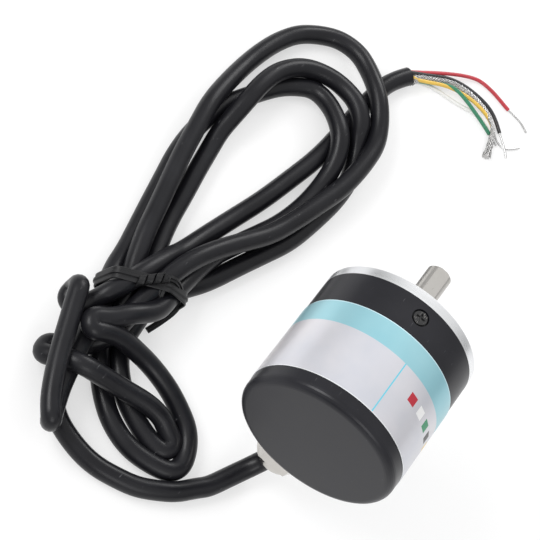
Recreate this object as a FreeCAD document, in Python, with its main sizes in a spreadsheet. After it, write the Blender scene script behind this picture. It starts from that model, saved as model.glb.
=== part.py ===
import FreeCAD, Part
import Sketcher
import math
import os

# Optical rotary encoder of the 38 mm class. X is the shaft, outward from the flange, and Z is up.
# The origin is the centre of the flange's front face, where the encoder is bolted to its bracket.
# The gland points straight down, and the cable lies on a surface below it. Millimetres throughout.

os.makedirs("parts", exist_ok=True)
doc = FreeCAD.newDocument("RotaryEncoder")
V = FreeCAD.Vector

# Driving sizes. Each one stands alone, and what fits together shares them.
SIZES = {
    "rim_radius": 19, "rim_long": 2.65, "rim_edge": 0.5, "body_long": 35.5, "boss_radius": 10,
    "boss_long": 5, "boss_edge": 0.3, "plate_thick": 5, "spigot_long": 9.5, "spigot_wall": 4.25,
    "spigot_fit": 0.05, "hub_wall": 2.1, "hub_tail": 0.8, "lip_thick": 1, "lip_fit": 0.6,
    "cover_wall": 1.5, "cover_end": 1.8, "cover_round": 1.8,
    "mount_border": 4, "mount_step": 1, "mount_turn": 40, "mount_hole": 1.25, "mount_deep": 3.5,
    "screw_back": 6.25, "screw_turn": 3.5, "screw_head": 1.6, "screw_head_high": 0.7,
    "screw_sunk": 0.1, "screw_shank": 1.2, "screw_long": 4.2, "screw_slot": 0.5,
    "screw_slot_deep": 0.35, "counterbore_fit": 0.4, "screw_fit": 0.05,
    "label_start": 11.2, "label_border": 4.3, "label_thick": 0.12, "label_glue": 0.02,
    "label_sweep": 308,
    "shaft_radius": 3, "shaft_out": 13, "shaft_edge": 0.4, "relief_wide": 0.9, "relief_deep": 0.2,
    "flat_deep": 0.5, "flat_long": 10,
    "bearing_radius": 6.5, "bearing_wide": 5, "bearing_apart": 5, "ball_room": 1.1,
    "ball_radius": 1, "ball_fit": 0.05, "ball_count": 7, "cage_wide": 2.8, "cage_fit": 0.2,
    "seat_fit": 0.01, "shield_thick": 0.3, "shield_in": 0.05, "spacer_wall": 0.85,
    "clip_thick": 0.7, "clip_deep": 0.4, "clip_wide": 0.9, "clip_fit": 0.05, "clip_gap": 2.4,
    "sleeve_wall": 1.2, "seat_wide": 1.8, "disc_hub_long": 2.7, "disc_thick": 0.5,
    "disc_clear": 0.8, "clamp_thick": 0.8, "hub_clear": 0.4, "hub_screw_radius": 0.9,
    "slot_count": 60, "slot_wide": 0.5, "slot_border": 0.6, "slot_long": 2.2, "index_gap": 0.9,
    "index_long": 1.1, "read_gap": 0.3,
    "board_clear": 0.6, "board_thick": 1.6, "board_apart": 2.7, "board_flat": 0.8,
    "post_border": 0.55, "post_radius": 1.7, "post_turn": 63.5, "stud_radius": 1.2,
    "stud_long": 1.4, "post_screw": 0.95, "post_screw_long": 4, "post_head": 1.6,
    "post_head_high": 0.75,
    "lamp_wide": 5, "lamp_gap": 0.6, "sensor_wide": 6.4, "sensor_high": 3.6, "mask_thick": 0.3,
    "chip_long": 6, "chip_wide": 4, "chip_thick": 1.2,
    "gland_from_end": 9.5, "spot_deep": 0.6, "spot_border": 0.3, "gland_hex": 9,
    "gland_hex_long": 3.6, "gland_thread": 3.9, "gland_thread_up": 4.8, "gland_neck": 1.8,
    "gland_fit": 0.1, "washer_thick": 0.8, "washer_wide": 1, "nut_hex": 12, "nut_gap": 0.4,
    "nut_hex_long": 4.8, "nut_edge": 0.4, "nut_collar": 3.5, "nut_curve": 1.9,
    "gland_seal_long": 2.8, "locknut_thick": 1.6, "locknut_fit": 0.05,
    "cable_radius": 2.4, "cable_fit": 0.1, "cable_grip": 0.02, "cable_stub": 0.4,
    "floor_gap": 11.5, "hank_levels": 2, "tie_wide": 4, "tie_thick": 0.7, "tie_fit": 0.15,
    "core_radius": 0.5, "braid_radius": 0.75,
}
sheet = doc.addObject("Spreadsheet::Sheet", "Sizes")
for row, (name, value) in enumerate(SIZES.items(), 1):
    sheet.set("A%d" % row, name)
    sheet.set("B%d" % row, str(value))
    sheet.setAlias("B%d" % row, name)
doc.recompute()


def size(name):
    return float(sheet.get(name))


# Lengths that follow from the driving sizes, kept in the sheet as formulas.
DERIVED = {
    "cover_inner": "rim_radius - cover_wall",
    "spigot_radius": "cover_inner - spigot_fit",
    "spigot_inner": "spigot_radius - spigot_wall",
    "mount_large_circle": "rim_radius - mount_border",
    "mount_small_circle": "mount_large_circle - mount_step",
    "lip_bore": "shaft_radius + lip_fit",
    "hub_radius": "bearing_radius + hub_wall",
    "bearing_front": "boss_long - lip_thick",
    "bearing_back": "2 * bearing_wide + bearing_apart - bearing_front",
    "housing_bore": "bearing_radius + seat_fit",
    "race_wall": "(bearing_radius - shaft_radius - ball_room) / 2",
    "hub_end": "bearing_back + clip_thick + hub_tail",
    "shaft_bore": "shaft_radius + seat_fit",
    "pitch_radius": "(bearing_radius + shaft_radius) / 2",
    "disc_sleeve": "shaft_radius + sleeve_wall",
    "disc_hub_radius": "disc_sleeve + seat_wide",
    "hub_start": "hub_end + hub_clear",
    "disc_seat": "hub_start + disc_hub_long",
    "disc_back": "disc_seat + disc_thick",
    "disc_radius": "spigot_inner - disc_clear",
    "slot_inner": "disc_radius - slot_border - slot_long",
    "index_inner": "slot_inner - index_gap - index_long",
    "slot_middle": "slot_inner + slot_long / 2",
    "shaft_end": "disc_back + clamp_thick + hub_clear",
    "board_back": "disc_back + board_apart",
    "board_radius": "cover_inner - board_clear",
    "post_circle": "spigot_radius - post_border - post_radius",
    "lamp_high": "spigot_inner - hub_radius - 2 * lamp_gap",
    "lamp_low": "hub_radius + lamp_gap",
    "lamp_end": "disc_seat - read_gap",
    "mask_face": "disc_back + read_gap",
    "counterbore": "screw_head + counterbore_fit",
    "screw_seat": "rim_radius - screw_sunk - screw_head_high",
    "label_inner": "rim_radius + label_glue",
    "label_outer": "label_inner + label_thick",
    "label_long": "body_long - label_start - label_border",
    "gland_back": "body_long - gland_from_end",
    "gland_spot": "rim_radius - spot_deep",
    "hex_corner": "gland_hex / sqrt(3)",
    "nut_corner": "nut_hex / sqrt(3)",
    "washer_radius": "gland_thread + washer_wide",
    "locknut_seat": "sqrt(cover_inner ^ 2 - hex_corner ^ 2) - locknut_fit",
    "gland_top": "gland_spot + washer_thick - gland_thread_up",
    "washer_end": "gland_spot + washer_thick",
    "gland_hex_end": "washer_end + gland_hex_long",
    "neck_end": "gland_hex_end + gland_neck",
    "nut_start": "gland_hex_end + nut_gap",
    "nut_hex_end": "nut_start + nut_hex_long",
    "nut_end": "nut_hex_end + nut_collar",
    "collar_radius": "nut_hex / 2 - nut_edge / 4",
    "cable_bore": "cable_radius + cable_fit",
    "cable_inside": "gland_top - cable_stub",
    "thread_bore": "gland_thread + gland_fit",
    "floor_down": "nut_end + floor_gap",
}
for row, (name, formula) in enumerate(DERIVED.items(), len(SIZES) + 1):
    sheet.set("A%d" % row, name)
    sheet.set("B%d" % row, "=" + formula)
    sheet.setAlias("B%d" % row, name)
    doc.recompute()

parts = []


def sized(formula):
    # Puts the sheet's name before each of its aliases in a formula.
    text = ""
    word = ""
    for letter in str(formula) + " ":
        if letter.isalnum() or letter == "_":
            word += letter
            continue
        known = word in SIZES or word in DERIVED
        text += ("Sizes." + word if known else word) + letter
        word = ""
    return text.strip()


def bind(thing, path, formula):
    thing.setExpression(path, sized(formula))


def keep(thing, label):
    thing.Label = label
    parts.append(thing)
    return thing


# Bodies made of sketches.
def new_body(label):
    return keep(doc.addObject("PartDesign::Body", label + "_body"), label)


def plane_of(body, role):
    return [f for f in body.Origin.OriginFeatures if f.Role == role][0]


def new_sketch(body, name, role="XY_Plane", lift=None):
    sketch = body.newObject("Sketcher::SketchObject", name)
    sketch.AttachmentSupport = [(plane_of(body, role), "")]
    sketch.MapMode = "FlatFace"
    if lift:
        bind(sketch, "AttachmentOffset.Base.z", lift)
    return sketch


def place_point(sketch, geo, pos, across, up):
    # Ties one point of the sketch to the sheet, measured from the sketch's origin.
    for kind, formula, axis in (("DistanceX", across, -2), ("DistanceY", up, -1)):
        if str(formula) == "0":
            sketch.addConstraint(Sketcher.Constraint("PointOnObject", geo, pos, axis))
        else:
            now = doc_value(formula)
            at = sketch.addConstraint(Sketcher.Constraint(kind, -1, 1, geo, pos, now))
            bind(sketch, "Constraints[%d]" % at, formula)


def doc_value(formula):
    # The present value of a formula of sheet names.
    return float(sheet.evalExpression(sized(formula).replace("Sizes.", "")))


def outline(sketch, corners):
    # A closed run of straight lines through corners given as pairs of formulas.
    spots = [V(doc_value(a), doc_value(b), 0) for a, b in corners]
    first = None
    count = len(spots)
    for i in range(count):
        geo = sketch.addGeometry(Part.LineSegment(spots[i], spots[(i + 1) % count]))
        first = geo if first is None else first
    for i in range(count):
        after = first + (i + 1) % count
        sketch.addConstraint(Sketcher.Constraint("Coincident", first + i, 2, after, 1))
    for i, (a, b) in enumerate(corners):
        place_point(sketch, first + i, 1, a, b)


def circle(sketch, across, up, radius):
    spot = V(doc_value(across), doc_value(up), 0)
    geo = sketch.addGeometry(Part.Circle(spot, V(0, 0, 1), doc_value(radius)))
    at = sketch.addConstraint(Sketcher.Constraint("Radius", geo, doc_value(radius)))
    bind(sketch, "Constraints[%d]" % at, radius)
    place_point(sketch, geo, 3, across, up)


def revolve(body, corners, name="Turned", role="XY_Plane", angle=None):
    sketch = new_sketch(body, name + "Profile", role)
    outline(sketch, corners)
    turned = body.newObject("PartDesign::Revolution", name)
    turned.Profile = sketch
    turned.ReferenceAxis = (sketch, ["H_Axis"])
    if angle:
        turned.Midplane = True
        bind(turned, "Angle", angle)
    return turned


def turned_body(label, corners):
    body = new_body(label)
    revolve(body, corners)
    return body


def volume_now(body):
    doc.recompute()
    return body.Shape.Volume


def pattern(body, features, count, axis_role="X_Axis"):
    before = volume_now(body)
    ring = body.newObject("PartDesign::PolarPattern", features[-1].Name + "Ring")
    ring.Originals = features
    ring.Axis = (plane_of(body, axis_role), [""])
    ring.Angle = 360
    bind(ring, "Occurrences", count)
    body.Tip = ring
    after = volume_now(body)
    print(body.Label, "pattern", round(before, 2), "to", round(after, 2))
    assert after < before
    return ring


# Part primitives and booleans.
def tube_of(name, outer, inner, start, long):
    # A ring about the X axis, from start towards minus X.
    shapes = []
    for tag, radius in (("Out", outer), ("In", inner)):
        one = doc.addObject("Part::Cylinder", name + tag)
        bind(one, "Radius", radius)
        bind(one, "Height", long)
        one.Placement = FreeCAD.Placement(V(), FreeCAD.Rotation(V(0, 1, 0), -90))
        bind(one, "Placement.Base.x", start)
        shapes.append(one)
    cut = doc.addObject("Part::Cut", name)
    cut.Base, cut.Tool = shapes
    return cut


def block(name, long, wide, high, x, y, z):
    one = doc.addObject("Part::Box", name)
    for path, formula in (("Length", long), ("Width", wide), ("Height", high)):
        bind(one, path, formula)
    for path, formula in (("x", x), ("y", y), ("z", z)):
        bind(one, "Placement.Base." + path, formula)
    return one


def peg(name, radius, long, x, y, z, kind="Part::Cylinder"):
    # An upright cylinder, or a hexagonal prism whose flats face X.
    one = doc.addObject(kind, name)
    if kind == "Part::Cylinder":
        bind(one, "Radius", radius)
    else:
        one.Polygon = 6
        bind(one, "Circumradius", radius)
        one.Placement = FreeCAD.Placement(V(), FreeCAD.Rotation(V(0, 0, 1), 30))
    bind(one, "Height", long)
    for path, formula in (("x", x), ("y", y), ("z", z)):
        bind(one, "Placement.Base." + path, formula)
    return one


def cut_of(name, base, tool):
    one = doc.addObject("Part::Cut", name)
    one.Base, one.Tool = base, tool
    return one


def fuse_of(name, shapes):
    one = doc.addObject("Part::MultiFuse", name)
    one.Shapes = shapes
    return one


def spun(shape, angle):
    # Turns a boolean's result about the shaft axis.
    shape.Placement = FreeCAD.Placement(V(), FreeCAD.Rotation(V(1, 0, 0), doc_value(angle)))
    bind(shape, "Placement.Rotation.Angle", angle)
    return shape


# Front flange: rim, spigot for the cover, boss and the bearing housing, turned in one piece.
flange = new_body("front_flange")
revolve(flange, [
    ("boss_long", "lip_bore"), ("boss_long", "boss_radius - boss_edge"),
    ("boss_long - boss_edge", "boss_radius"), ("0", "boss_radius"), ("0", "rim_radius - rim_edge"),
    ("-rim_edge", "rim_radius"), ("-rim_long", "rim_radius"), ("-rim_long", "spigot_radius"),
    ("-spigot_long", "spigot_radius"), ("-spigot_long", "spigot_inner"),
    ("-plate_thick", "spigot_inner"), ("-plate_thick", "hub_radius"), ("-hub_end", "hub_radius"),
    ("-hub_end", "housing_bore"), ("-bearing_back - clip_thick - clip_fit", "housing_bore"),
    ("-bearing_back - clip_thick - clip_fit", "housing_bore + clip_deep"),
    ("-bearing_back + clip_fit", "housing_bore + clip_deep"),
    ("-bearing_back + clip_fit", "housing_bore"), ("bearing_front", "housing_bore"),
    ("bearing_front", "lip_bore")])
doc.recompute()


def blind_holes(body, name, circle_radius, turn):
    sketch = new_sketch(body, name + "Spot", "YZ_Plane")
    circle(sketch, "%s * sin(%s)" % (circle_radius, turn), "%s * cos(%s)" % (circle_radius, turn), "mount_hole")
    doc.recompute()
    hole = body.newObject("PartDesign::Hole", name)
    hole.Profile = sketch
    hole.Threaded = False
    hole.DepthType = "Dimension"
    hole.DrillPoint = "Flat"
    bind(hole, "Diameter", "2 * mount_hole")
    bind(hole, "Depth", "mount_deep")
    doc.recompute()
    return pattern(body, [hole], "3")


blind_holes(flange, "SmallCircleHoles", "mount_small_circle", "mount_turn")
blind_holes(flange, "LargeCircleHoles", "mount_large_circle", "mount_turn + 60")


def radial_pocket(body, name, back, radius, start, long, turn):
    # A round pocket along a radius near the top, cut outwards from the given height.
    sketch = new_sketch(body, name + "Spot")
    sketch.AttachmentOffset = FreeCAD.Placement(V(), FreeCAD.Rotation(V(-1, 0, 0), doc_value(turn)))
    bind(sketch, "AttachmentOffset.Rotation.Angle", turn)
    bind(sketch, "AttachmentOffset.Base.y", "(%s) * sin(%s)" % (start, turn))
    bind(sketch, "AttachmentOffset.Base.z", "(%s) * cos(%s)" % (start, turn))
    circle(sketch, "-" + back, "0", radius)
    pocket = body.newObject("PartDesign::Pocket", name)
    pocket.Profile = sketch
    pocket.Type = 0
    bind(pocket, "Length", long)
    pocket.Reversed = True
    doc.recompute()
    return pocket


tapped = radial_pocket(flange, "CoverTapping", "screw_back", "screw_shank + screw_fit",
                       "spigot_inner - 1", "spigot_wall + 2", "screw_turn")
pattern(flange, [tapped], "3")


def stud_holes(body, name, radius, start, long, out):
    # Holes along X on the circle of the board's posts.
    sketch = new_sketch(body, name + "Spot", "YZ_Plane", "-(" + start + ")")
    circle(sketch, "-post_circle * sin(post_turn)", "-post_circle * cos(post_turn)", radius)
    pocket = body.newObject("PartDesign::Pocket", name)
    pocket.Profile = sketch
    pocket.Type = 0
    bind(pocket, "Length", long)
    pocket.Reversed = out
    doc.recompute()
    return pattern(body, [pocket], "3")


stud_holes(flange, "StudHoles", "stud_radius + screw_fit", "spigot_long", "stud_long + screw_fit", True)

# A quarter circle as a run of short straight lines. Each step gives how far the line has come
# across from the first edge and how far it still is from the second, as shares of the radius.
CURVE_STEPS = 6
curve_shares = []
for step in range(CURVE_STEPS + 1):
    turned_by = math.radians(90 * step / CURVE_STEPS)
    curve_shares.append((round(1 - math.cos(turned_by), 4), round(1 - math.sin(turned_by), 4)))

# Cover: a drawn can that slips over the spigot and is closed at the back, its rear edge well rounded.
cover = new_body("housing_cover")
rear_edge = [("-body_long + %s * cover_round" % left, "rim_radius - %s * cover_round" % come)
             for come, left in curve_shares]
revolve(cover, [
    ("-rim_long", "cover_inner"), ("-rim_long", "rim_radius")] + rear_edge + [
    ("-body_long", "0"), ("-body_long + cover_end", "0"), ("-body_long + cover_end", "cover_inner")])
doc.recompute()
clearance = radial_pocket(cover, "ScrewHole", "screw_back", "screw_shank + screw_fit",
                          "cover_inner - 2", "cover_wall + 4", "screw_turn")
sunk = radial_pocket(cover, "Counterbore", "screw_back", "counterbore", "screw_seat",
                     "cover_wall + 2", "screw_turn")
pattern(cover, [clearance, sunk], "3")


def down_pocket(body, name, radius, start, long):
    before = volume_now(body)
    sketch = new_sketch(body, name + "Spot", "XY_Plane", "-(" + start + ")")
    circle(sketch, "-gland_back", "0", radius)
    pocket = body.newObject("PartDesign::Pocket", name)
    pocket.Profile = sketch
    pocket.Type = 0
    bind(pocket, "Length", long)
    assert volume_now(body) < before
    return pocket


down_pocket(cover, "GlandSpotFace", "washer_radius + spot_border", "gland_spot", "2 * cover_wall")
down_pocket(cover, "GlandHole", "thread_bore", "cover_inner - cover_wall", "3 * cover_wall")


# Three screws hold the cover on the spigot.
def cover_screw(number):
    name = "CoverScrew%d" % number
    head = peg(name + "Head", "screw_head", "screw_head_high", "-screw_back", "0", "screw_seat")
    shank = peg(name + "Shank", "screw_shank", "screw_long", "-screw_back", "0", "screw_seat - screw_long")
    whole = fuse_of(name + "Whole", [head, shank])
    bars = []
    for tag, long, wide in (("A", "1.3 * screw_head", "screw_slot"), ("B", "screw_slot", "1.3 * screw_head")):
        bars.append(block(name + "Slot" + tag, long, wide, "screw_slot_deep + 1",
                          "-screw_back - (%s) / 2" % long, "-(%s) / 2" % wide,
                          "screw_seat + screw_head_high - screw_slot_deep"))
    cross = fuse_of(name + "Cross", bars)
    screw = cut_of(name, whole, cross)
    return keep(spun(screw, "%d - screw_turn" % (120 * number - 120)), "cover_screw_%d" % number)


for number in (1, 2, 3):
    cover_screw(number)

# Label: a thin wrap round the cover, left open where the gland comes out.
label = new_body("label_wrap")
revolve(label, [
    ("-label_start", "label_inner"), ("-label_start", "label_outer"),
    ("-label_start - label_long", "label_outer"), ("-label_start - label_long", "label_inner")],
    role="XZ_Plane", angle="label_sweep")

# Two ball bearings, with their rings, balls and cages, and the parts that hold them.
for side, start in (("front", "bearing_front"), ("rear", "-bearing_apart - bearing_wide + bearing_front")):
    middle = "%s - bearing_wide / 2" % start
    for ring, outer, inner in (("outer", "bearing_radius", "bearing_radius - race_wall"),
                               ("inner", "shaft_radius + race_wall", "shaft_bore")):
        name = "%s_bearing_%s_ring" % (side, ring)
        plain = tube_of(name + "_blank", outer, inner, start, "bearing_wide")
        groove = doc.addObject("Part::Torus", name + "_groove")
        bind(groove, "Radius1", "pitch_radius")
        bind(groove, "Radius2", "ball_radius + ball_fit")
        groove.Placement = FreeCAD.Placement(V(), FreeCAD.Rotation(V(0, 1, 0), 90))
        bind(groove, "Placement.Base.x", middle)
        keep(cut_of(name, plain, groove), name)

    name = side + "_bearing"
    balls, rooms = [], []
    for n in range(int(size("ball_count"))):
        turn = "360 * %d / ball_count" % n
        ball = doc.addObject("Part::Sphere", "%sBall%d" % (name, n))
        bind(ball, "Radius", "ball_radius")
        bind(ball, "Placement.Base.x", middle)
        bind(ball, "Placement.Base.y", "pitch_radius * sin(%s)" % turn)
        bind(ball, "Placement.Base.z", "pitch_radius * cos(%s)" % turn)
        balls.append(ball)
        # The cage's pockets run out along the radius.
        room = doc.addObject("Part::Cylinder", "%sRoom%d" % (name, n))
        bind(room, "Radius", "ball_radius + ball_fit")
        bind(room, "Height", "bearing_radius")
        room.Placement = FreeCAD.Placement(V(), FreeCAD.Rotation(V(-1, 0, 0), doc_value(turn)))
        bind(room, "Placement.Rotation.Angle", turn)
        bind(room, "Placement.Base.x", middle)
        rooms.append(room)
    ball_group = doc.addObject("Part::Compound", name + "_all_balls")
    ball_group.Links = balls
    keep(ball_group, name + "_balls")
    blank = tube_of(name + "_cage_blank", "bearing_radius - race_wall - cage_fit",
                    "shaft_radius + race_wall + cage_fit", "%s + cage_wide / 2" % middle, "cage_wide")
    room_group = doc.addObject("Part::Compound", name + "_rooms")
    room_group.Links = rooms
    keep(cut_of(name + "_cage_cut", blank, room_group), name + "_cage")

keep(tube_of("ShieldRing", "bearing_radius - race_wall - seat_fit", "shaft_radius + race_wall + cage_fit",
             "bearing_front - shield_in", "shield_thick"), "front_bearing_shield")
keep(tube_of("OuterSpacer", "bearing_radius", "bearing_radius - spacer_wall",
             "bearing_front - bearing_wide", "bearing_apart"), "outer_spacer")
keep(tube_of("InnerSpacer", "shaft_radius + spacer_wall", "shaft_bore",
             "bearing_front - bearing_wide", "bearing_apart"), "inner_spacer")


def open_clip(label, outer, inner):
    ring = tube_of(label + "_ring", outer, inner, "-bearing_back", "clip_thick")
    mouth = block(label + "_mouth", "clip_thick + 2", "clip_gap", "2 * bearing_radius",
                  "-bearing_back - clip_thick - 1", "-clip_gap / 2", "0")
    return keep(cut_of(label + "_open", ring, mouth), label)


open_clip("bearing_clip", "housing_bore + clip_deep - clip_fit", "bearing_radius - clip_wide")
open_clip("shaft_clip", "shaft_radius + clip_wide", "shaft_radius - clip_deep + clip_fit")

# Shaft with its flat, a shallow relief under the lip and the groove for its clip. The stretch with the flat
# stays a face of its own, beside the round one that goes into the boss.
shaft = new_body("encoder_shaft")
revolve(shaft, [
    ("boss_long + shaft_out", "0"), ("boss_long + shaft_out", "shaft_radius - shaft_edge"),
    ("boss_long + shaft_out - shaft_edge", "shaft_radius"),
    ("boss_long + shaft_out - flat_long", "shaft_radius"), ("boss_long", "shaft_radius"),
    ("boss_long", "shaft_radius - relief_deep"), ("boss_long - relief_wide", "shaft_radius - relief_deep"),
    ("boss_long - relief_wide", "shaft_radius"), ("-bearing_back + clip_fit", "shaft_radius"),
    ("-bearing_back + clip_fit", "shaft_radius - clip_deep"),
    ("-bearing_back - clip_thick - clip_fit", "shaft_radius - clip_deep"),
    ("-bearing_back - clip_thick - clip_fit", "shaft_radius"),
    ("-shaft_end", "shaft_radius"), ("-shaft_end", "0")])
shaft.Tip.Refine = False
flat_sketch = new_sketch(shaft, "FlatOutline", "XY_Plane", "shaft_radius - flat_deep")
outline(flat_sketch, [
    ("boss_long + shaft_out - flat_long", "-2 * shaft_radius"), ("boss_long + shaft_out + 1", "-2 * shaft_radius"),
    ("boss_long + shaft_out + 1", "2 * shaft_radius"), ("boss_long + shaft_out - flat_long", "2 * shaft_radius")])
round_shaft = volume_now(shaft)
flat = shaft.newObject("PartDesign::Pocket", "Flat")
flat.Profile = flat_sketch
flat.Type = 0
bind(flat, "Length", "2 * flat_deep")
flat.Reversed = True
flat.Refine = False
assert volume_now(shaft) < round_shaft

# Disc hub on the shaft, its set screw, the slotted disc and the ring that clamps it.
hub = new_body("disc_hub")
revolve(hub, [
    ("-hub_start", "shaft_bore"), ("-hub_start", "disc_hub_radius"), ("-disc_seat", "disc_hub_radius"),
    ("-disc_seat", "disc_sleeve"), ("-disc_back - clamp_thick", "disc_sleeve"),
    ("-disc_back - clamp_thick", "shaft_bore")])
hub_sketch = new_sketch(hub, "SetScrewSpot", "XY_Plane")
circle(hub_sketch, "-hub_start - disc_hub_long / 2", "0", "hub_screw_radius + screw_fit")
solid_hub = volume_now(hub)
tapping = hub.newObject("PartDesign::Pocket", "SetScrewHole")
tapping.Profile = hub_sketch
tapping.Type = 0
bind(tapping, "Length", "disc_hub_radius + 1")
tapping.Reversed = True
assert volume_now(hub) < solid_hub
keep(peg("HubScrew", "hub_screw_radius", "disc_hub_radius - shaft_bore - 0.4", "-hub_start - disc_hub_long / 2",
         "0", "shaft_radius + 0.05"), "hub_screw")

# The slotted disc: one slot cut through and repeated round the track, and one index slot inside it.
disc = new_body("code_disc")
revolve(disc, [
    ("-disc_seat", "disc_sleeve + seat_fit"), ("-disc_seat", "disc_radius"),
    ("-disc_back", "disc_radius"), ("-disc_back", "disc_sleeve + seat_fit")])


def disc_slot(name, inner, long):
    before = volume_now(disc)
    sketch = new_sketch(disc, name + "Outline", "YZ_Plane", "-disc_seat + 1")
    outline(sketch, [
        ("-slot_wide / 2", inner), ("slot_wide / 2", inner),
        ("slot_wide / 2", "%s + %s" % (inner, long)), ("-slot_wide / 2", "%s + %s" % (inner, long))])
    slot = disc.newObject("PartDesign::Pocket", name)
    slot.Profile = sketch
    slot.Type = 0
    bind(slot, "Length", "disc_thick + 2")
    assert volume_now(disc) < before
    return slot


doc.recompute()
disc_slot("IndexSlot", "index_inner", "index_long")
track_slot = disc_slot("TrackSlot", "slot_inner", "slot_long")
pattern(disc, [track_slot], "slot_count")
turned_body("disc_clamp", [
    ("-disc_back", "disc_sleeve + seat_fit"), ("-disc_back", "disc_hub_radius"),
    ("-disc_back - clamp_thick", "disc_hub_radius"), ("-disc_back - clamp_thick", "disc_sleeve + seat_fit")])

# Light source on the flange, and the sensor with its mask on the board, either side of the disc.
lamp = block("LampBody", "lamp_end - plate_thick", "lamp_wide", "lamp_high", "-lamp_end",
             "-lamp_wide / 2", "lamp_low")
keep(lamp, "light_source")
keep(block("SensorBody", "board_back - mask_face - mask_thick", "sensor_wide", "sensor_high",
           "-board_back", "-sensor_wide / 2", "slot_middle - sensor_high / 2"), "light_sensor")
mask_blank = block("MaskBlank", "mask_thick", "0.8 * sensor_wide", "0.8 * sensor_high",
                   "-mask_face - mask_thick", "-0.4 * sensor_wide", "slot_middle - 0.4 * sensor_high")
windows = []
for n in range(4):
    windows.append(block("MaskWindow%d" % n, "mask_thick + 2", "slot_wide / 2", "0.6 * slot_long",
                         "-mask_face - mask_thick - 1", "%.1f * slot_wide - 0.125 * slot_wide" % (2 * n - 3),
                         "slot_middle - 0.3 * slot_long"))
keep(cut_of("MaskCut", mask_blank, fuse_of("MaskWindows", windows)), "index_mask")

# Circuit board on three posts that stand on the flange's spigot.
board = new_body("circuit_board")
board_sketch = new_sketch(board, "BoardOutline", "YZ_Plane", "-board_back - board_thick")
circle(board_sketch, "0", "0", "board_radius")
pad = board.newObject("PartDesign::Pad", "BoardPad")
pad.Profile = board_sketch
bind(pad, "Length", "board_thick")
doc.recompute()
stud_holes(board, "BoardHoles", "post_screw + screw_fit", "board_back + board_thick + 1", "board_thick + 2", True)
flat_room = new_sketch(board, "BoardFlatOutline", "YZ_Plane", "-board_back - board_thick - 1")
outline(flat_room, [
    ("-board_radius", "-cable_inside + board_flat"), ("-board_radius", "-2 * board_radius"),
    ("board_radius", "-2 * board_radius"), ("board_radius", "-cable_inside + board_flat")])
round_board = volume_now(board)
board_flat = board.newObject("PartDesign::Pocket", "BoardFlat")
board_flat.Profile = flat_room
board_flat.Type = 0
bind(board_flat, "Length", "board_thick + 2")
board_flat.Reversed = True
assert volume_now(board) < round_board


def along_x(name, radius, long, start):
    # A cylinder along X on the circle of the board's posts, starting at minus start and running forward.
    one = doc.addObject("Part::Cylinder", name)
    bind(one, "Radius", radius)
    bind(one, "Height", long)
    one.Placement = FreeCAD.Placement(V(), FreeCAD.Rotation(V(0, 1, 0), 90))
    bind(one, "Placement.Base.x", "-(" + start + ")")
    bind(one, "Placement.Base.z", "-post_circle")
    return one


for number in (1, 2, 3):
    turn = "-post_turn - %d" % (120 * number - 120)
    name = "Post%d" % number
    pillar = along_x(name + "Pillar", "post_radius", "board_back - spigot_long", "board_back")
    stud = along_x(name + "Stud", "stud_radius", "stud_long", "spigot_long")
    bore = along_x(name + "Bore", "post_screw + screw_fit", "post_screw_long + 1", "board_back + 1")
    whole = fuse_of(name + "Whole", [pillar, stud])
    keep(spun(cut_of(name, whole, bore), turn), "board_post_%d" % number)
    name = "BoardScrew%d" % number
    shank = along_x(name + "Shank", "post_screw", "board_thick + post_screw_long - 0.5", "board_back + board_thick")
    head = along_x(name + "Head", "post_head", "post_head_high", "board_back + board_thick + post_head_high")
    keep(spun(fuse_of(name, [shank, head]), turn), "board_screw_%d" % number)

keep(block("DriverChip", "chip_thick", "chip_long", "chip_wide", "-board_back - board_thick - chip_thick",
           "-chip_long / 2", "2"), "driver_chip")
keep(block("RegulatorChip", "chip_thick", "chip_wide", "chip_wide", "-board_back - board_thick - chip_thick",
           "chip_long / 2 + 1.5", "-chip_wide - 2"), "regulator_chip")
keep(block("BoardSocket", "1.5 * chip_thick", "1.5 * chip_long", "chip_wide - 0.5",
           "-board_back - board_thick - 1.5 * chip_thick", "-1.5 * chip_long", "-chip_wide - 2"), "board_socket")


# Cable gland under the cover: body, sealing washer, locknut inside, clamping nut and its rubber bush.
def ring_down(label, outer, inner, start, long, kind="Part::Cylinder"):
    whole = peg(label + "_out", outer, long, "-gland_back", "0", "-(%s) - (%s)" % (start, long), kind)
    bore = peg(label + "_bore", inner, "%s + 2" % long, "-gland_back", "0", "-(%s) - (%s) - 1" % (start, long))
    return cut_of(label + "_ring", whole, bore)


hex_part = peg("GlandHex", "hex_corner", "gland_hex_long", "-gland_back", "0",
               "-gland_hex_end", "Part::Prism")
thread_part = peg("GlandThread", "gland_thread", "gland_thread_up + gland_hex_long + gland_neck",
                  "-gland_back", "0", "-neck_end")
gland_bore = peg("GlandBore", "cable_bore", "neck_end", "-gland_back", "0", "-neck_end - 1")
keep(cut_of("GlandCut", fuse_of("GlandWhole", [hex_part, thread_part]), gland_bore), "gland_body")
keep(ring_down("gland_washer", "washer_radius", "thread_bore", "gland_spot", "washer_thick"), "gland_washer")
keep(ring_down("gland_locknut", "hex_corner", "thread_bore", "locknut_seat - locknut_thick",
               "locknut_thick", "Part::Prism"), "gland_locknut")
keep(ring_down("gland_bush", "gland_thread", "cable_radius + cable_grip", "neck_end + gland_fit",
               "gland_seal_long"), "gland_bush")
nut_round = new_body("nut_round")
parts.pop()
nut_sketch = new_sketch(nut_round, "NutProfile", "XZ_Plane")
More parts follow.
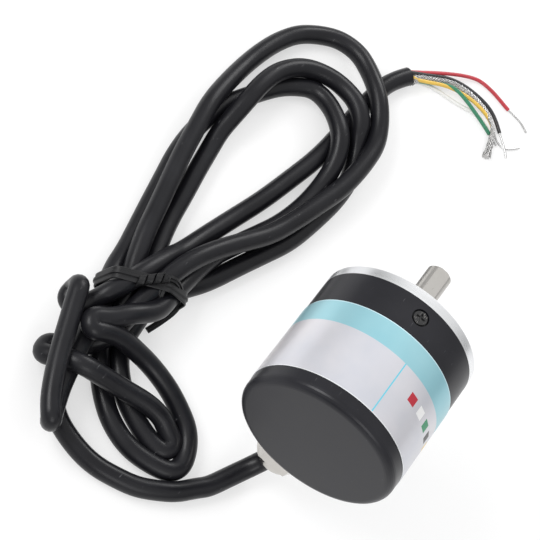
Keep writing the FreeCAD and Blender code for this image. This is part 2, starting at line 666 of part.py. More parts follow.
outline(nut_sketch, [
    ("thread_bore", "-nut_start"), ("nut_hex / 2", "-nut_start"),
    ("nut_corner", "-nut_start - nut_edge"), ("nut_corner", "-nut_hex_end + nut_edge"),
    ("collar_radius", "-nut_hex_end")] + [
    ("collar_radius - %s * nut_curve" % come, "-nut_end + %s * nut_curve" % left)
    for come, left in curve_shares] + [
    ("cable_bore + nut_edge", "-nut_end"), ("cable_bore", "-nut_end + nut_edge"),
    ("cable_bore", "-neck_end - 2 * gland_fit - gland_seal_long"),
    ("thread_bore", "-neck_end - 2 * gland_fit - gland_seal_long")])
nut_turned = nut_round.newObject("PartDesign::Revolution", "NutTurned")
nut_turned.Profile = nut_sketch
nut_turned.ReferenceAxis = (nut_sketch, ["V_Axis"])
nut_turned.Angle = 360
bind(nut_round, "Placement.Base.x", "-gland_back")
nut_prism = peg("NutPrism", "nut_corner", "nut_end - nut_start + 2", "-gland_back", "0",
                "-nut_end - 1", "Part::Prism")
nut = doc.addObject("Part::Common", "NutCommon")
nut.Base, nut.Tool = nut_round, nut_prism
keep(nut, "gland_nut")

# The cable, from inside the cover through the gland.
keep(peg("CableInner", "cable_radius", "nut_end - cable_inside", "-gland_back", "0", "-nut_end"), "cable_inner")
doc.recompute()


# A tube along straight runs joined by tangent arcs, as large as the runs beside them allow.
def route(points):
    points = [V(*p) for p in points]
    edges = []
    radii = []
    here = points[0]
    for before, corner, after in zip(points, points[1:], points[2:]):
        into = (corner - before).normalize()
        out = (after - corner).normalize()
        half = into.getAngle(out) / 2
        back = 0.45 * min(corner.distanceToPoint(before), corner.distanceToPoint(after))
        radius = back / math.tan(half)
        radii.append(round(radius, 1))
        start = corner - into * back
        end = corner + out * back
        inward = (out - into).normalize()
        middle = corner + inward * (radius / math.cos(half) - radius)
        edges.append(Part.LineSegment(here, start).toShape())
        edges.append(Part.Arc(start, middle, end).toShape())
        here = end
    edges.append(Part.LineSegment(here, points[-1]).toShape())
    return Part.Wire(edges), radii


def tube(points, radius, name):
    path, radii = route(points)
    way = V(*points[1]) - V(*points[0])
    section = Part.Wire([Part.Circle(V(*points[0]), way, radius).toShape()])
    solid = path.makePipeShell([section], True, False)
    ideal = math.pi * radius ** 2 * path.Length
    print(name, "radii", radii, "length", round(path.Length, 1), "volume share", round(solid.Volume / ideal, 4))
    return solid


def feature(label, shape):
    one = doc.addObject("Part::Feature", label + "_shape")
    one.Shape = shape
    return keep(one, label)


# Points of the cord are chosen by hand on the surface under the encoder.
low = -size("floor_down") + size("cable_radius")
mouth = -size("nut_end")
back = -size("gland_back")
LEAD = [(back, 0, mouth), (back, 0, mouth - 4.6), (back - 3.4, 1.7, low + 1.2), (-34.4, 4.1, low),
        (-39.6, 6.4, low), (-46, 12, low)]
TAIL = [(-10, 46, low), (14, 41.5, low), (40, 34.6, low), (58, 32.4, low), (71, 33.9, low), (79, 32.8, low),
        (84.3, 29.8, low)]
OUTER = [(-16, 54.5), (-9, 56), (-1, 58.5), (14, 62.5), (30, 65), (48, 66.5), (62, 64), (73, 58), (79.5, 49), (79.5, 40),
         (74, 32), (65, 25.5), (52, 22.5), (38, 22), (23, 24.5), (8, 30), (-4, 37), (-12, 40.5), (-19, 39),
         (-24.5, 33), (-28, 23.5), (-33, 15), (-39, 9.5), (-45, 7.5), (-51, 12.5), (-55, 20), (-57, 29),
         (-58.5, 38), (-59.5, 44), (-56, 50.5), (-49, 54.5), (-44, 58), (-37, 58.5), (-30, 61.5), (-25.5, 60.5),
         (-21.5, 56.5)]
HOLE = [(4, 47.5), (20, 52.5), (36, 55.5), (48, 55.5), (56, 50), (57, 43), (52, 35.5), (42, 32), (28, 33),
        (14, 38)]
TIE_AT = (-14.6, 48.2)
TIE_TURN = 35
WAIST_LONG = 12


def closed_curve(points, height):
    curve = Part.BSplineCurve()
    curve.interpolate([V(x, y, height) for x, y in points], PeriodicFlag=True)
    return Part.Wire([curve.toShape()])


# The hank lies in two lobes, held together at its waist by a tie.
floor = -size("floor_down")
thick = size("hank_levels") * 2 * size("cable_radius")
lobes = Part.Face([closed_curve(OUTER, floor), closed_curve(HOLE, floor)], "Part::FaceMakerBullseye")
lobes = lobes.extrude(V(0, 0, thick))
tail = tube(TAIL, size("cable_radius"), "cable_tail")


# Seven strands are pressed together in the tie, four below and three above. The tie pulls
# its corners round, and it stands at a slant across the hank.
cable = 2 * size("cable_radius")
bundle_wide = 3.4 * cable
bundle_high = 2.3 * cable
bundle_round = 3
gap = size("tie_fit")
wall = size("tie_thick")


def waist_box(long, wide, low_end, high_end, corner=0):
    box = Part.makeBox(long, wide, high_end - low_end, V(-long / 2, -wide / 2, low_end))
    if corner:
        edges = [e for e in box.Edges if abs(e.tangentAt(e.FirstParameter).x) > 0.9]
        box = box.makeFillet(corner, edges)
    box.rotate(V(0, 0, 0), V(0, 0, 1), TIE_TURN)
    box.translate(V(TIE_AT[0], TIE_AT[1], 0))
    return box


bottom = floor + wall + 2 * gap
waist = waist_box(WAIST_LONG, bundle_wide, floor, bottom + bundle_high)
core = waist_box(WAIST_LONG, bundle_wide, bottom, bottom + bundle_high, bundle_round)
inside = waist_box(WAIST_LONG, bundle_wide + 2 * gap, bottom - gap, bottom + bundle_high + gap,
                   bundle_round + gap)
around = waist_box(size("tie_wide"), bundle_wide + 2 * gap + 2 * wall, bottom - gap - wall,
                   bottom + bundle_high + gap + wall, bundle_round + gap + wall)
room = waist_box(size("tie_wide") + 2 * gap, 3 * bundle_wide, floor - 1, bottom + 2 * bundle_high).cut(core)
feature("twist_tie", around.cut(inside))
lobes = lobes.fuse(waist).cut(room)
# The tail crosses the open lobe a little above the surface, so that its wall doesn't touch the lobe's lower edge.
crossing_lift = 0.3
inner_tail = tube([(x, y, z + crossing_lift) for x, y, z in TAIL[:4]], size("cable_radius"), "inner_tail")
hank = lobes.fuse(inner_tail.cut(room)).removeSplitter()
feature("cable_hank", hank)
feature("cable_lead", tube(LEAD, size("cable_radius"), "cable_lead").cut(lobes))
outer_tail = tail.cut(Part.Face(closed_curve(OUTER, floor - 1)).extrude(V(0, 0, thick + 2)))
feature("cable_tail", outer_tail)

# Conductors that fan out of the cut end of the jacket, over the surface.
end = V(*TAIL[-1])
way = (end - V(*TAIL[-2])).normalize()
side = V(-way.y, way.x, 0)
rise = 1.35
CORES = {
    "core_red": (0, 0.1, [(93.6, 24), (98, 17.6), (99.9, 10), (98.4, 3), (96.7, -3.5)]),
    "core_black": (60, 1.4, [(92.6, 23), (95.6, 15), (94.8, 7), (91, 1.4), (87.6, -3.1)]),
    "core_yellow": (120, 2.6, [(91.2, 22), (93.6, 14), (92.6, 6.6), (90.6, 1)]),
    "core_green": (300, 0.1, [(91.6, 22), (92.2, 14), (90.4, 7), (87.8, 1)]),
    "core_white": (240, 0.1, [(89.8, 21.6), (89.8, 14.4), (87.8, 8), (84.8, 2.6)]),
    "shield_braid": (180, 0.1, [(88.6, 20.6), (87.4, 14), (84.6, 8), (81.4, 2.8)]),
}
for name, (turn, lift, spots) in CORES.items():
    angle = math.radians(turn)
    thin = size("braid_radius") if name == "shield_braid" else size("core_radius")
    start = end + side * (rise * math.cos(angle)) + V(0, 0, rise * math.sin(angle))
    first = start + way * 5
    bottom = floor + thin + lift
    steps = [tuple(start), tuple(first)]
    for n, (x, y) in enumerate(spots):
        share = min(1, (n + 1) / 2)
        steps.append((x, y, first.z + (bottom - first.z) * share))
    feature(name, tube(steps, thin, name))

# Every object and every piece is sound before anything is written.
doc.recompute()
for thing in doc.Objects:
    bad = [s for s in thing.State if s in ("Invalid", "Error")]
    assert not bad, (thing.Name, thing.State)
for piece in parts:
    shape = piece.Shape
    assert not shape.isNull() and shape.isValid(), piece.Label
    print(piece.Label, len(shape.Solids), "solid, volume", round(shape.Volume, 2))
    shape.exportStep("parts/%s.step" % piece.Label)
print(len(parts), "pieces")
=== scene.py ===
import math

import bpy
import numpy as np
from mathutils import Matrix, Vector


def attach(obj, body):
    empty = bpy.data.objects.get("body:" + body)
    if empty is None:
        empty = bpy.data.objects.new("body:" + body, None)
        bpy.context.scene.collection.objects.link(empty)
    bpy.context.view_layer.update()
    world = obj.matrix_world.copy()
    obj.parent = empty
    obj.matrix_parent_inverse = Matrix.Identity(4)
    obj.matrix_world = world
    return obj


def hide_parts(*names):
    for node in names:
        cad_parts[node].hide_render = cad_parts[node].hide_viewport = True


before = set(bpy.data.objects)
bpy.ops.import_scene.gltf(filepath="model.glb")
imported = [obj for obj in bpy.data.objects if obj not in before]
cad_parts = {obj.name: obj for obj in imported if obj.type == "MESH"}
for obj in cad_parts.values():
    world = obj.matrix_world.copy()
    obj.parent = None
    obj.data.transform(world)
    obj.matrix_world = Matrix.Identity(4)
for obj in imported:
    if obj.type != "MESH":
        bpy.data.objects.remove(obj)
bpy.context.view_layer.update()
mm = 0.001


# Camera: it looks down on the rear of the encoder, from beside the cable.
cameraSetup = {
    "place": (-0.24145, 0.0684, 0.38308),
    "right": (0.5371, -0.744, 0.3974),
    "up": (0.6687, 0.6627, 0.3371),
    "lens": 138.95,
    "sensor": 36,
    "clip": (0.01, 20),
}


def addObject(name, data):
    # a new object of the scene, at the origin
    thing = bpy.data.objects.new(name, data)
    bpy.context.scene.collection.objects.link(thing)
    return thing


def makeCamera(setup):
    # the camera's axes are right, up and back, with up turned square to right
    data = bpy.data.cameras.new("camera")
    data.lens = setup["lens"]
    data.sensor_width = setup["sensor"]
    data.clip_start, data.clip_end = setup["clip"]
    right = Vector(setup["right"]).normalized()
    up = Vector(setup["up"])
    up = (up - right * up.dot(right)).normalized()
    axes = Matrix((right, up, right.cross(up))).transposed().to_4x4()
    camera = addObject("camera", data)
    camera.matrix_world = Matrix.Translation(setup["place"]) @ axes
    bpy.context.scene.camera = camera


makeCamera(cameraSetup)
print("camera in place")


# Cable: one long round cord. It leaves the gland, lies in two lobes that are tied at the waist, and
# ends in bare wires.
cable = {
    "diameter": 4.8 * mm,
    "length": 1.115,
    "bevelSteps": 6,
    "steps": 8,
    # millimetres, stretch by stretch along the cord
    "route": {
        "lead": [
            (-26, 0, -31.5), (-26, 0, -36.1), (-29.4, 1.7, -39.4), (-34.4, 4.1, -40.6),
            (-39.6, 6.4, -40.6)],
        "underLoops": [
            (-42, 8.5, -40.5), (-46, 11.5, -40.5), (-49, 15.5, -40.5), (-51.5, 19.5, -40.5),
            (-53, 24.5, -40.5), (-54, 29, -40.5), (-54, 33.5, -40.5), (-53, 38.5, -40.5),
            (-51.5, 42.5, -40.5), (-48.5, 46.5, -40.5), (-44, 49, -40.5), (-37.5, 51, -40.5),
            (-29.5, 51.5, -40.5), (-22, 50.5, -40.5), (-16, 47, -40.5), (-11, 43, -40.5),
            (-6, 39.5, -40.5)],
        "middleLoop": [
            (0, 36, -40.5), (8, 33, -40.5), (15.5, 30, -40.5), (23, 27, -40.5), (32, 25.5, -40.5),
            (41, 24.5, -40.5), (48.5, 25, -40.5), (54.5, 27.5, -40), (58, 30, -38.5), (61, 32, -36.5),
            (64, 36, -36), (65.5, 40.5, -37), (65.5, 45, -37.5), (63.5, 50, -37.5), (60, 53.5, -37),
            (55, 56, -36.5), (49, 57, -36), (43, 57, -36), (37.5, 57, -37.5), (32.5, 57, -39),
            (27, 56, -40), (20.5, 55, -40), (13, 53.5, -40.5), (6.5, 52.5, -40.5), (0, 51, -40),
            (-6.5, 49, -39.5), (-12.5, 46.5, -37), (-18, 43.5, -37.5)],
        "innerRing": [
            (-22, 43, -39), (-26, 42.5, -40), (-30, 41, -40.5), (-34.5, 37, -40.5),
            (-37.5, 32.5, -40.5), (-40, 26.5, -40.5), (-41, 22, -40.5), (-40.5, 19.1, -40.4),
            (-37.5, 18.9, -40.1), (-36.3, 22.2, -39.2), (-35.5, 25, -38), (-36, 29.5, -36.5),
            (-38, 35.5, -35), (-40, 41.5, -33), (-42, 47, -31), (-42.4, 51.2, -34.4),
            (-43.8, 54.9, -37.4), (-39.5, 55.3, -38.7), (-38.6, 51.6, -38.9), (-34.5, 48.5, -38.6),
            (-29.5, 45.5, -36.5), (-24.5, 45.5, -34.5), (-19, 45.5, -33.5), (-12, 44.5, -32.5),
            (-4, 43, -32.5)],
        "outerLoop": [
            (3.5, 40, -33.5), (11, 36, -34.5), (18, 32, -35.5), (26, 29.5, -36), (34, 27.5, -36),
            (42, 25.5, -36), (51, 25, -36), (58.5, 25.5, -36.5), (64, 28, -36.5), (68.5, 31.5, -36),
            (72, 35, -36.5), (75.5, 39, -38), (78, 43.5, -39), (78, 49, -40), (75.5, 53.5, -40.5),
            (71, 58, -40.5), (65.5, 60.5, -40.5), (59.5, 62, -40), (52.5, 63, -39.5), (44, 63.5, -38),
            (35.5, 63.5, -36.5), (27.5, 62, -36), (19.5, 60.5, -36), (11.5, 58.5, -36),
            (3.5, 56.5, -36), (-3, 55, -36), (-9, 53, -36.5), (-14, 51, -37), (-19.5, 48.5, -36.5),
            (-24.5, 47, -38.5)],
        "outerRing": [
            (-27, 47, -40.5), (-31.5, 45.5, -40.5), (-36, 42, -40.5), (-40, 38, -40.5),
            (-43.5, 33, -40.5), (-45.5, 26.5, -40.5), (-45, 20.5, -40.5), (-43.5, 15.5, -40.5),
            (-40.5, 14, -40.5), (-36, 15.5, -40.5), (-32.5, 18.5, -40), (-30, 23.5, -39.5),
            (-28.5, 28.5, -38.5), (-28, 34.5, -37), (-29, 40, -34.5), (-30.2, 44, -32.2),
            (-32.3, 47.3, -30.6), (-34.9, 50.3, -29.8), (-32.2, 52, -29.9), (-29.6, 48.5, -30),
            (-24.6, 45.1, -30)],
        "innerLoop": [
            (-19, 41, -32.5), (-11.5, 41, -35.5), (3.5, 39.5, -38), (11, 37, -39.5), (18.5, 34, -40),
            (25, 31.5, -40.5), (32, 30, -40), (39, 29.5, -40), (45, 30, -38.5), (49.5, 31.5, -37),
            (53.5, 34, -36), (57.5, 38, -37), (60.5, 42.5, -39), (61, 46.5, -40), (58.5, 50, -40.5),
            (55, 53, -40.5), (50.5, 55.5, -40.5), (45.5, 58, -40.5), (40, 60.5, -40.5),
            (34, 61.5, -40.5), (27.5, 62, -40.5), (20.5, 61.5, -40.5), (13.5, 60, -40.5),
            (6, 58.5, -40.5), (-1, 57, -40.5), (-8, 55.5, -40.5), (-13.5, 55, -40),
            (-19.5, 53.5, -38.5), (-25.5, 51.5, -36.5)],
        "frontFold": [
            (-30.3, 51, -34.8), (-38.6, 49, -35.2), (-45.1, 47.5, -35.2), (-49.1, 46.3, -35.2),
            (-55.6, 43.6, -35.2), (-57, 43.9, -30.7), (-53.6, 46.9, -30.7), (-49, 49.5, -30.7),
            (-43.1, 52.3, -30.7), (-36.8, 54.8, -30.7), (-32, 56.8, -30.7), (-27.3, 58.6, -30.7),
            (-27, 58.8, -35.5), (-30, 58.8, -36), (-30.4, 55.3, -36.2), (-27.2, 54.2, -35.8),
            (-25.5, 53.3, -35), (-23, 52.3, -33)],
        "tail": [
            (-18.5, 50.5, -32.5), (-12, 49, -33), (-4.5, 47, -35.5), (-0.5, 45.5, -37.5),
            (8, 43.5, -39), (17.5, 41, -40), (26.5, 38.5, -40), (36.5, 36.5, -40.5),
            (47, 34.5, -40.5), (56.5, 34, -40.5), (65, 34, -40.5), (73, 33.5, -40.5),
            (79.5, 32.5, -40.6), (84.3, 29.8, -40.6)],
    },
}


def nurbsCord(name, points, diameter, bevelSteps, steps):
    # an open spline of order 3 with the given control points and a round bevel
    data = bpy.data.curves.new(name, "CURVE")
    data.dimensions = "3D"
    spline = data.splines.new("NURBS")
    spline.points.add(len(points) - 1)
    flat = np.ones((len(points), 4))
    flat[:, :3] = points
    spline.points.foreach_set("co", flat.ravel())
    spline.order_u = 3
    spline.use_endpoint_u = True
    data.resolution_u = steps
    data.render_resolution_u = steps
    # the points carry the radius, so that the object's box is the cord's own
    spline.points.foreach_set("radius", [diameter / 2] * len(points))
    data.bevel_depth = 1
    data.bevel_resolution = bevelSteps
    data.use_fill_caps = True
    spline.use_smooth = True
    return addObject(name, data)


def centreLine(cord):
    # the spline's own points, read with its bevel off
    depth = cord.data.bevel_depth
    cord.data.bevel_depth = 0
    bpy.context.view_layer.update()
    line = bpy.data.meshes.new_from_object(cord.evaluated_get(bpy.context.evaluated_depsgraph_get()))
    points = np.empty(len(line.vertices) * 3)
    line.vertices.foreach_get("co", points)
    cord.data.bevel_depth = depth
    bpy.data.meshes.remove(line)
    return points.reshape(-1, 3)


def lengthsAlong(path):
    # how far each point of a path is from its start, along it
    return np.concatenate([[0], np.cumsum(np.linalg.norm(np.diff(path, axis=0), axis=1))])


cablePoints = np.concatenate([np.array(stretch, float) for stretch in cable["route"].values()]) * mm
cableCord = nurbsCord("cable", cablePoints, cable["diameter"], cable["bevelSteps"], cable["steps"])
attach(cableCord, "housing")
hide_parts("cable_lead", "cable_hank", "cable_tail")
cableLine = centreLine(cableCord)
print("cable", len(cablePoints), "points,", round(float(lengthsAlong(cableLine)[-1]), 3), "m")


# Surfaces as grids: rows of points joined by four-sided faces, wrapped round one way or both.
def gridMesh(name, grid, closedRows=False, closedColumns=False, caps=False, smooth=True):
    rows, columns = grid.shape[:2]
    points = grid.reshape(-1, 3)
    r = np.arange(rows if closedRows else rows - 1)
    c = np.arange(columns if closedColumns else columns - 1)
    r, c = np.meshgrid(r, c, indexing="ij")
    nextRow, nextColumn = (r + 1) % rows, (c + 1) % columns
    faces = np.stack([r * columns + c, r * columns + nextColumn, nextRow * columns + nextColumn,
                      nextRow * columns + c], -1).reshape(-1, 4).tolist()
    if caps:
        faces.append(list(range(columns))[::-1])
        faces.append(list(range((rows - 1) * columns, rows * columns)))
    mesh = bpy.data.meshes.new(name)
    mesh.from_pydata(points.tolist(), [], faces)
    mesh.update()
    mesh.polygons.foreach_set("use_smooth", [smooth] * len(mesh.polygons))
    return addObject(name, mesh)


def bandAlong(path, acrossHint, profile, closed=False):
    # a profile (across, out) carried along a path: point = path + across * side + out * normal
    ahead = np.roll(path, -1, 0) - np.roll(path, 1, 0) if closed else np.gradient(path, axis=0)
    ahead /= np.linalg.norm(ahead, axis=1)[:, None]
    hint = np.broadcast_to(np.asarray(acrossHint, float), path.shape)
    side = hint - ahead * (hint * ahead).sum(1)[:, None]
    side /= np.linalg.norm(side, axis=1)[:, None]
    normal = np.cross(ahead, side)
    profile = np.broadcast_to(profile, (len(path), *np.shape(profile)[-2:]))
    return path[:, None] + side[:, None] * profile[..., :1] + normal[:, None] * profile[..., 1:]


# Wires that fan out of the cut end of the jacket and lie on the floor. Each starts on a small circle
# in the cable's end.
wires = {
    "radius": 0.5 * mm,
    "tipRadius": 0.27 * mm,
    "spread": 1.35 * mm,
    "floor": -43 * mm,
    "sides": 14,
    "steps": 6,
    "softEdge": 0.12 * mm,  # the insulation narrows over this length before the cut
    "cutShare": 0.94,  # of the radius, at the cut
    "bareShare": 1.05,  # of the conductor's radius, where it comes out
    "tipShare": 0.6,  # of the conductor's radius, at its tip
    "tipRound": 0.4,  # of the conductor's radius, the length of its rounded tip
    "hair": 0.01,  # of the way from one ring to the next
    "sharpAngle": 40,
    # turn about the cable in degrees, bare length at the end, route, in millimetres
    "cores": {
        "core_red": (0, 7.6, [
            (87.8, 28.1, -40.6), (91.4, 24.8, -40.9), (94.5, 21.7, -41.2), (96.9, 19.2, -41.6),
            (99.1, 16.5, -42), (100.5, 14, -42.4), (100.6, 10.2, -42.4), (100.1, 7, -42.4),
            (99.5, 3.8, -42.4), (99.5, 1.9, -42.5), (99.4, -0.3, -42.5), (98.9, -2.1, -42.6),
            (98.1, -3.7, -42.6)]),
        "core_black": (60, 6.9, [
            (87.5, 27.8, -40.6), (90.2, 24.9, -41), (93.1, 21.7, -41.4), (95, 17.6, -41.6),
            (95.8, 12.4, -41.8), (95.5, 7.8, -42), (94, 4.6, -42.2), (92, 1.9, -42.4),
            (90.7, 0.1, -42.5), (89.4, -1.7, -42.6), (87.6, -3.4, -42.6)]),
        "core_yellow": (120, 10.8, [
            (85.4, 27.3, -40.4), (87.4, 24.5, -40.4), (89.5, 21.9, -40.6), (91.2, 19.1, -40.8),
            (92.4, 15.6, -41), (93.1, 12, -41.2), (92.9, 8.2, -41.4), (92.4, 5.1, -42.2),
            (90.8, 3.1, -42.5), (89.2, 0.8, -42.6), (89.2, -1.5, -42.6), (90.7, -3.1, -42.6),
            (92.9, -4.6, -42.6)]),
        "core_green": (300, 3.4, [
            (85.4, 27.5, -41.2), (87.9, 24.3, -41.2), (90.3, 21.3, -40.8), (91.6, 18.5, -40.4),
            (91.4, 14.3, -40.8), (90.8, 10.9, -41.2), (90.2, 7.2, -41.8), (89.5, 3.9, -42.4),
            (89, 2.1, -42.5), (88.3, 0.6, -42.6)]),
        "core_white": (240, 3.6, [
            (85.2, 27.6, -41.8), (87.2, 25.3, -42.2), (88.6, 21.9, -42.4), (89.2, 18.1, -42.4),
            (90, 14.1, -42.4), (91.3, 10.7, -42.4), (91.3, 7.4, -42.6), (90.2, 5, -42.6),
            (89.1, 2.9, -42.6), (88, 1.4, -42.6)]),
    },
}
# Screen: a bundle of thin tinned strands round a core. It is wide at the jacket, narrows, and flares at
# its end.
screen = {
    "turn": 180,
    "route": [
        (86.4, 27.6, -41), (88.8, 24.8, -41.4), (93, 20.4, -41.8), (94.5, 16, -42), (94.6, 11.1, -42),
        (93.2, 6.9, -41.6), (91, 4.1, -41.2), (87.9, 2.7, -41.6), (85.5, 1.7, -41.9), (83, 1, -41.9)],
    # share of the length, and the bundle's radius there in millimetres
    "radii": [(0, 1.25), (0.12, 0.95), (0.3, 0.75), (0.6, 0.65), (0.76, 0.36), (0.84, 0.55), (1, 0.95)],
    "strand": 0.13 * mm,
    "strands": 14,
    "turns": 5.5,
    "width": 1.5 * mm,
    "steps": 9,
    "sides": 14,
    "strandSides": 6,
    # towards its end a strand strays by this share of the radius, in waves of so many radians over the
    # length, each strand a step on from the last
    "stray": 0.16,
    "strayWaves": 31,
    "strayStep": 2.1,
}


def wireStart(turn):
    # a place on the small circle: end of the cable + side * cos(turn) + up * sin(turn)
    end = cablePoints[-1]
    way = (end - cablePoints[-2]) * (1, 1, 0)
    way /= np.linalg.norm(way)
    side = np.array((-way[1], way[0], 0))
    angle = math.radians(turn)
    return end + wires["spread"] * (side * math.cos(angle) + np.array((0, 0, 1)) * math.sin(angle))


def softPath(points, steps):
    # an open spline of order 3: a curve through the middles of the chain's links, with straight ends
    points = np.asarray(points, float)
    middles = (points[:-1] + points[1:]) / 2
    share = np.linspace(0, 1, steps, endpoint=False)[:, None]
    before, corner, after = middles[:-1, None], points[1:-1, None], middles[1:, None]
    arcs = (1 - share) ** 2 * before + 2 * share * (1 - share) * corner + share ** 2 * after
    first = points[0] + (middles[0] - points[0]) * share
    last = middles[-1] + (points[-1] - middles[-1]) * share
    return np.concatenate([first, arcs.reshape(-1, 3), last, points[-1:]])


def roundTube(name, path, radii, sides):
    # circles of the given radii round a path, closed at both ends
    angle = np.linspace(0, 2 * math.pi, sides, endpoint=False)
    profile = np.stack([np.cos(angle), np.sin(angle)], -1) * np.asarray(radii)[:, None, None]
    return gridMesh(name, bandAlong(path, (0, 0, 1), profile), closedColumns=True, caps=True)


def strippedWire(name):
    # a tube along the route: the insulation's radius up to a square cut, and the conductor's from there
    turn, bare, spots = wires["cores"][name]
    route = np.concatenate([[wireStart(turn)], np.array(spots) * mm])
    path = softPath(route, wires["steps"])
    along = lengthsAlong(path)
    cut = along[-1] - bare * mm
    whole, thin = wires["radius"], wires["tipRadius"]
    stations = np.concatenate([along[along < cut - whole], [cut - wires["softEdge"], cut, cut, cut],
                               along[along > cut + whole],
                               [along[-1] - thin * wires["tipRound"], along[-1]]])
    stations.sort()
    spots = np.stack([np.interp(stations, along, path[:, k]) for k in range(3)], 1)
    radii = np.where(stations < cut, whole, thin)
    first = int(np.argmax(stations >= cut))
    radii[first] = whole * wires["cutShare"]
    radii[first + 1] = thin * wires["bareShare"]
    radii[-1] = thin * wires["tipShare"]
    # the three rings at the cut stand a hair apart, so that the path never stands still
    spots[first:first + 3] += np.outer((0, 1, 2), spots[first + 3] - spots[first]) * wires["hair"]
    spots[-2] += (spots[-3] - spots[-2]) * wires["hair"]
    piece = roundTube("wire_" + name.split("_")[1], spots, radii, wires["sides"])
    # faces past the cut take the second material, and so does the last cap
    row = np.arange((len(spots) - 1) * wires["sides"]) // wires["sides"]
    faces = np.concatenate([(row > first).astype(int), [0, 1]])
    piece.data.polygons.foreach_set("material_index", faces)
    return piece, route[0], spots


def screenBundle():
    # each strand winds round the bundle's path, every other one the other way:
    # angle = start + way * turns * share of the length
    route = np.concatenate([[wireStart(screen["turn"])], np.array(screen["route"]) * mm])
    path = softPath(route, screen["steps"])
    share = lengthsAlong(path)
    share /= share[-1]
    reach = np.interp(share, *np.array(screen["radii"]).T) * mm
    core = roundTube("wire_screen", path, reach - screen["strand"], screen["sides"])
    strands = []
    for number in range(screen["strands"]):
        way = 1 if number % 2 else -1
        start = 2 * math.pi * number / screen["strands"]
        angle = start + way * 2 * math.pi * screen["turns"] * share
        wave = np.sin(share * screen["strayWaves"] + number * screen["strayStep"])
        wobble = 1 + screen["stray"] * wave * share
        turning = np.stack([np.cos(angle), np.sin(angle)], -1)[:, None] * (reach * wobble)[:, None, None]
        line = bandAlong(path, (0, 0, 1), turning)[:, 0]
        line[:, 2] = np.maximum(line[:, 2], wires["floor"] + screen["strand"])
        strands.append(line)
    return core, route[0], path, strands


wirePieces = {}
wireFacts = {}
for name in wires["cores"]:
    piece, exitSpot, line = strippedWire(name)
    wirePieces[name] = piece
    wireFacts[name] = (exitSpot, line, 2 * wires["radius"], [])
piece, exitSpot, line, strands = screenBundle()
strandPieces = []
for number, strand in enumerate(strands):
    radii = [screen["strand"]] * len(strand)
    strandPieces.append(roundTube("strand_%d" % number, strand, radii, screen["strandSides"]))
wirePieces["shield_braid"] = piece
wireFacts["shield_braid"] = (exitSpot, line, screen["width"], strandPieces)
for name, piece in wirePieces.items():
    piece.data.set_sharp_from_angle(angle=math.radians(wires["sharpAngle"]))
    for one in [piece] + wireFacts[name][3]:
        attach(one, "housing")
        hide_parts(name)
print("wires laid")


# Twist tie: a flat strip with a wire in its middle, wound once round the waist and twisted into two
# ends.
twistTie = {
    "centre": (-16, 47.8, -37),
    "along": (0.883, 0.469, 0),
    "wide": 3.0 * mm,
    "thick": 0.45 * mm,
    "ridge": 0.35 * mm,
    "slack": 0.15 * mm,
    "lift": 0.05 * mm,
    "near": 10.6 * mm,
    "steps": 96,
    "smoothing": 3,
    "sharpAngle": 35,
    # shares of the strip's half width: its flat face's edge, the ridge's foot and the ridge's top
    "face": 0.9, "ridgeFoot": 0.3, "ridgeTop": 0.15,
    # the twist, from the band outward, in millimetres
    "twist": [(-17.9, 49.2, -30.2), (-12.7, 44.7, -28.9)],
    "twistTurns": 1.75,
    "twistRadius": 1.0 * mm,
    "twistSteps": 40,
    "ends": [
        [(-11.6, 43.4, -29.4), (-10.6, 41.2, -31.4), (-10.2, 38.6, -35.8), (-11.9, 37.6, -39.4),
         (-15.3, 38.4, -41.7), (-19.3, 39.6, -42.4)],
        [(-13.6, 44.0, -30.2), (-15.4, 43.5, -30.8), (-18.0, 42.0, -34), (-19.6, 41.6, -37.5),
         (-21.8, 42.7, -39.5)]],
    "endWide": 1.5 * mm,
    "endSteps": 8,
    "levelAfter": 14,  # points of a free end until the strip lies level
}


def tieBand():
    # a ring round the strands that pass near the waist: reach(angle) is how far the outermost one stands
    # out, plus its radius, and ring = out * reach + its square direction * slope of reach, then smoothed
    centre = np.array(twistTie["centre"]) * mm
    along = np.array(twistTie["along"])
    along = along / np.linalg.norm(along)
    across = np.array((-along[1], along[0], 0))
    up = np.array((0, 0, 1.0))
    local = cableLine - centre
    near = (np.abs(local @ along) < twistTie["wide"]) & (np.abs(local @ across) < twistTie["near"])
    flat = np.stack([local[near] @ across, local[near] @ up], 1)
    angle = np.linspace(0, 2 * math.pi, twistTie["steps"], endpoint=False)
    out = np.stack([np.cos(angle), np.sin(angle)], 1)
    reach = (out @ flat.T).max(1) + cable["diameter"] / 2 + twistTie["slack"]
    slope = (np.roll(reach, -1) - np.roll(reach, 1)) / (2 * (angle[1] - angle[0]))
    ring = out * reach[:, None] + np.stack([-out[:, 1], out[:, 0]], 1) * slope[:, None]
    for _ in range(twistTie["smoothing"]):
        ring = (ring + np.roll(ring, 1, 0) + np.roll(ring, -1, 0)) / 3
    path = centre + ring[:, :1] * across + ring[:, 1:] * up
    lowest = wires["floor"] + twistTie["thick"] / 2 + twistTie["ridge"] + twistTie["lift"]
    path[:, 2] = np.maximum(path[:, 2], lowest)
    return path, along


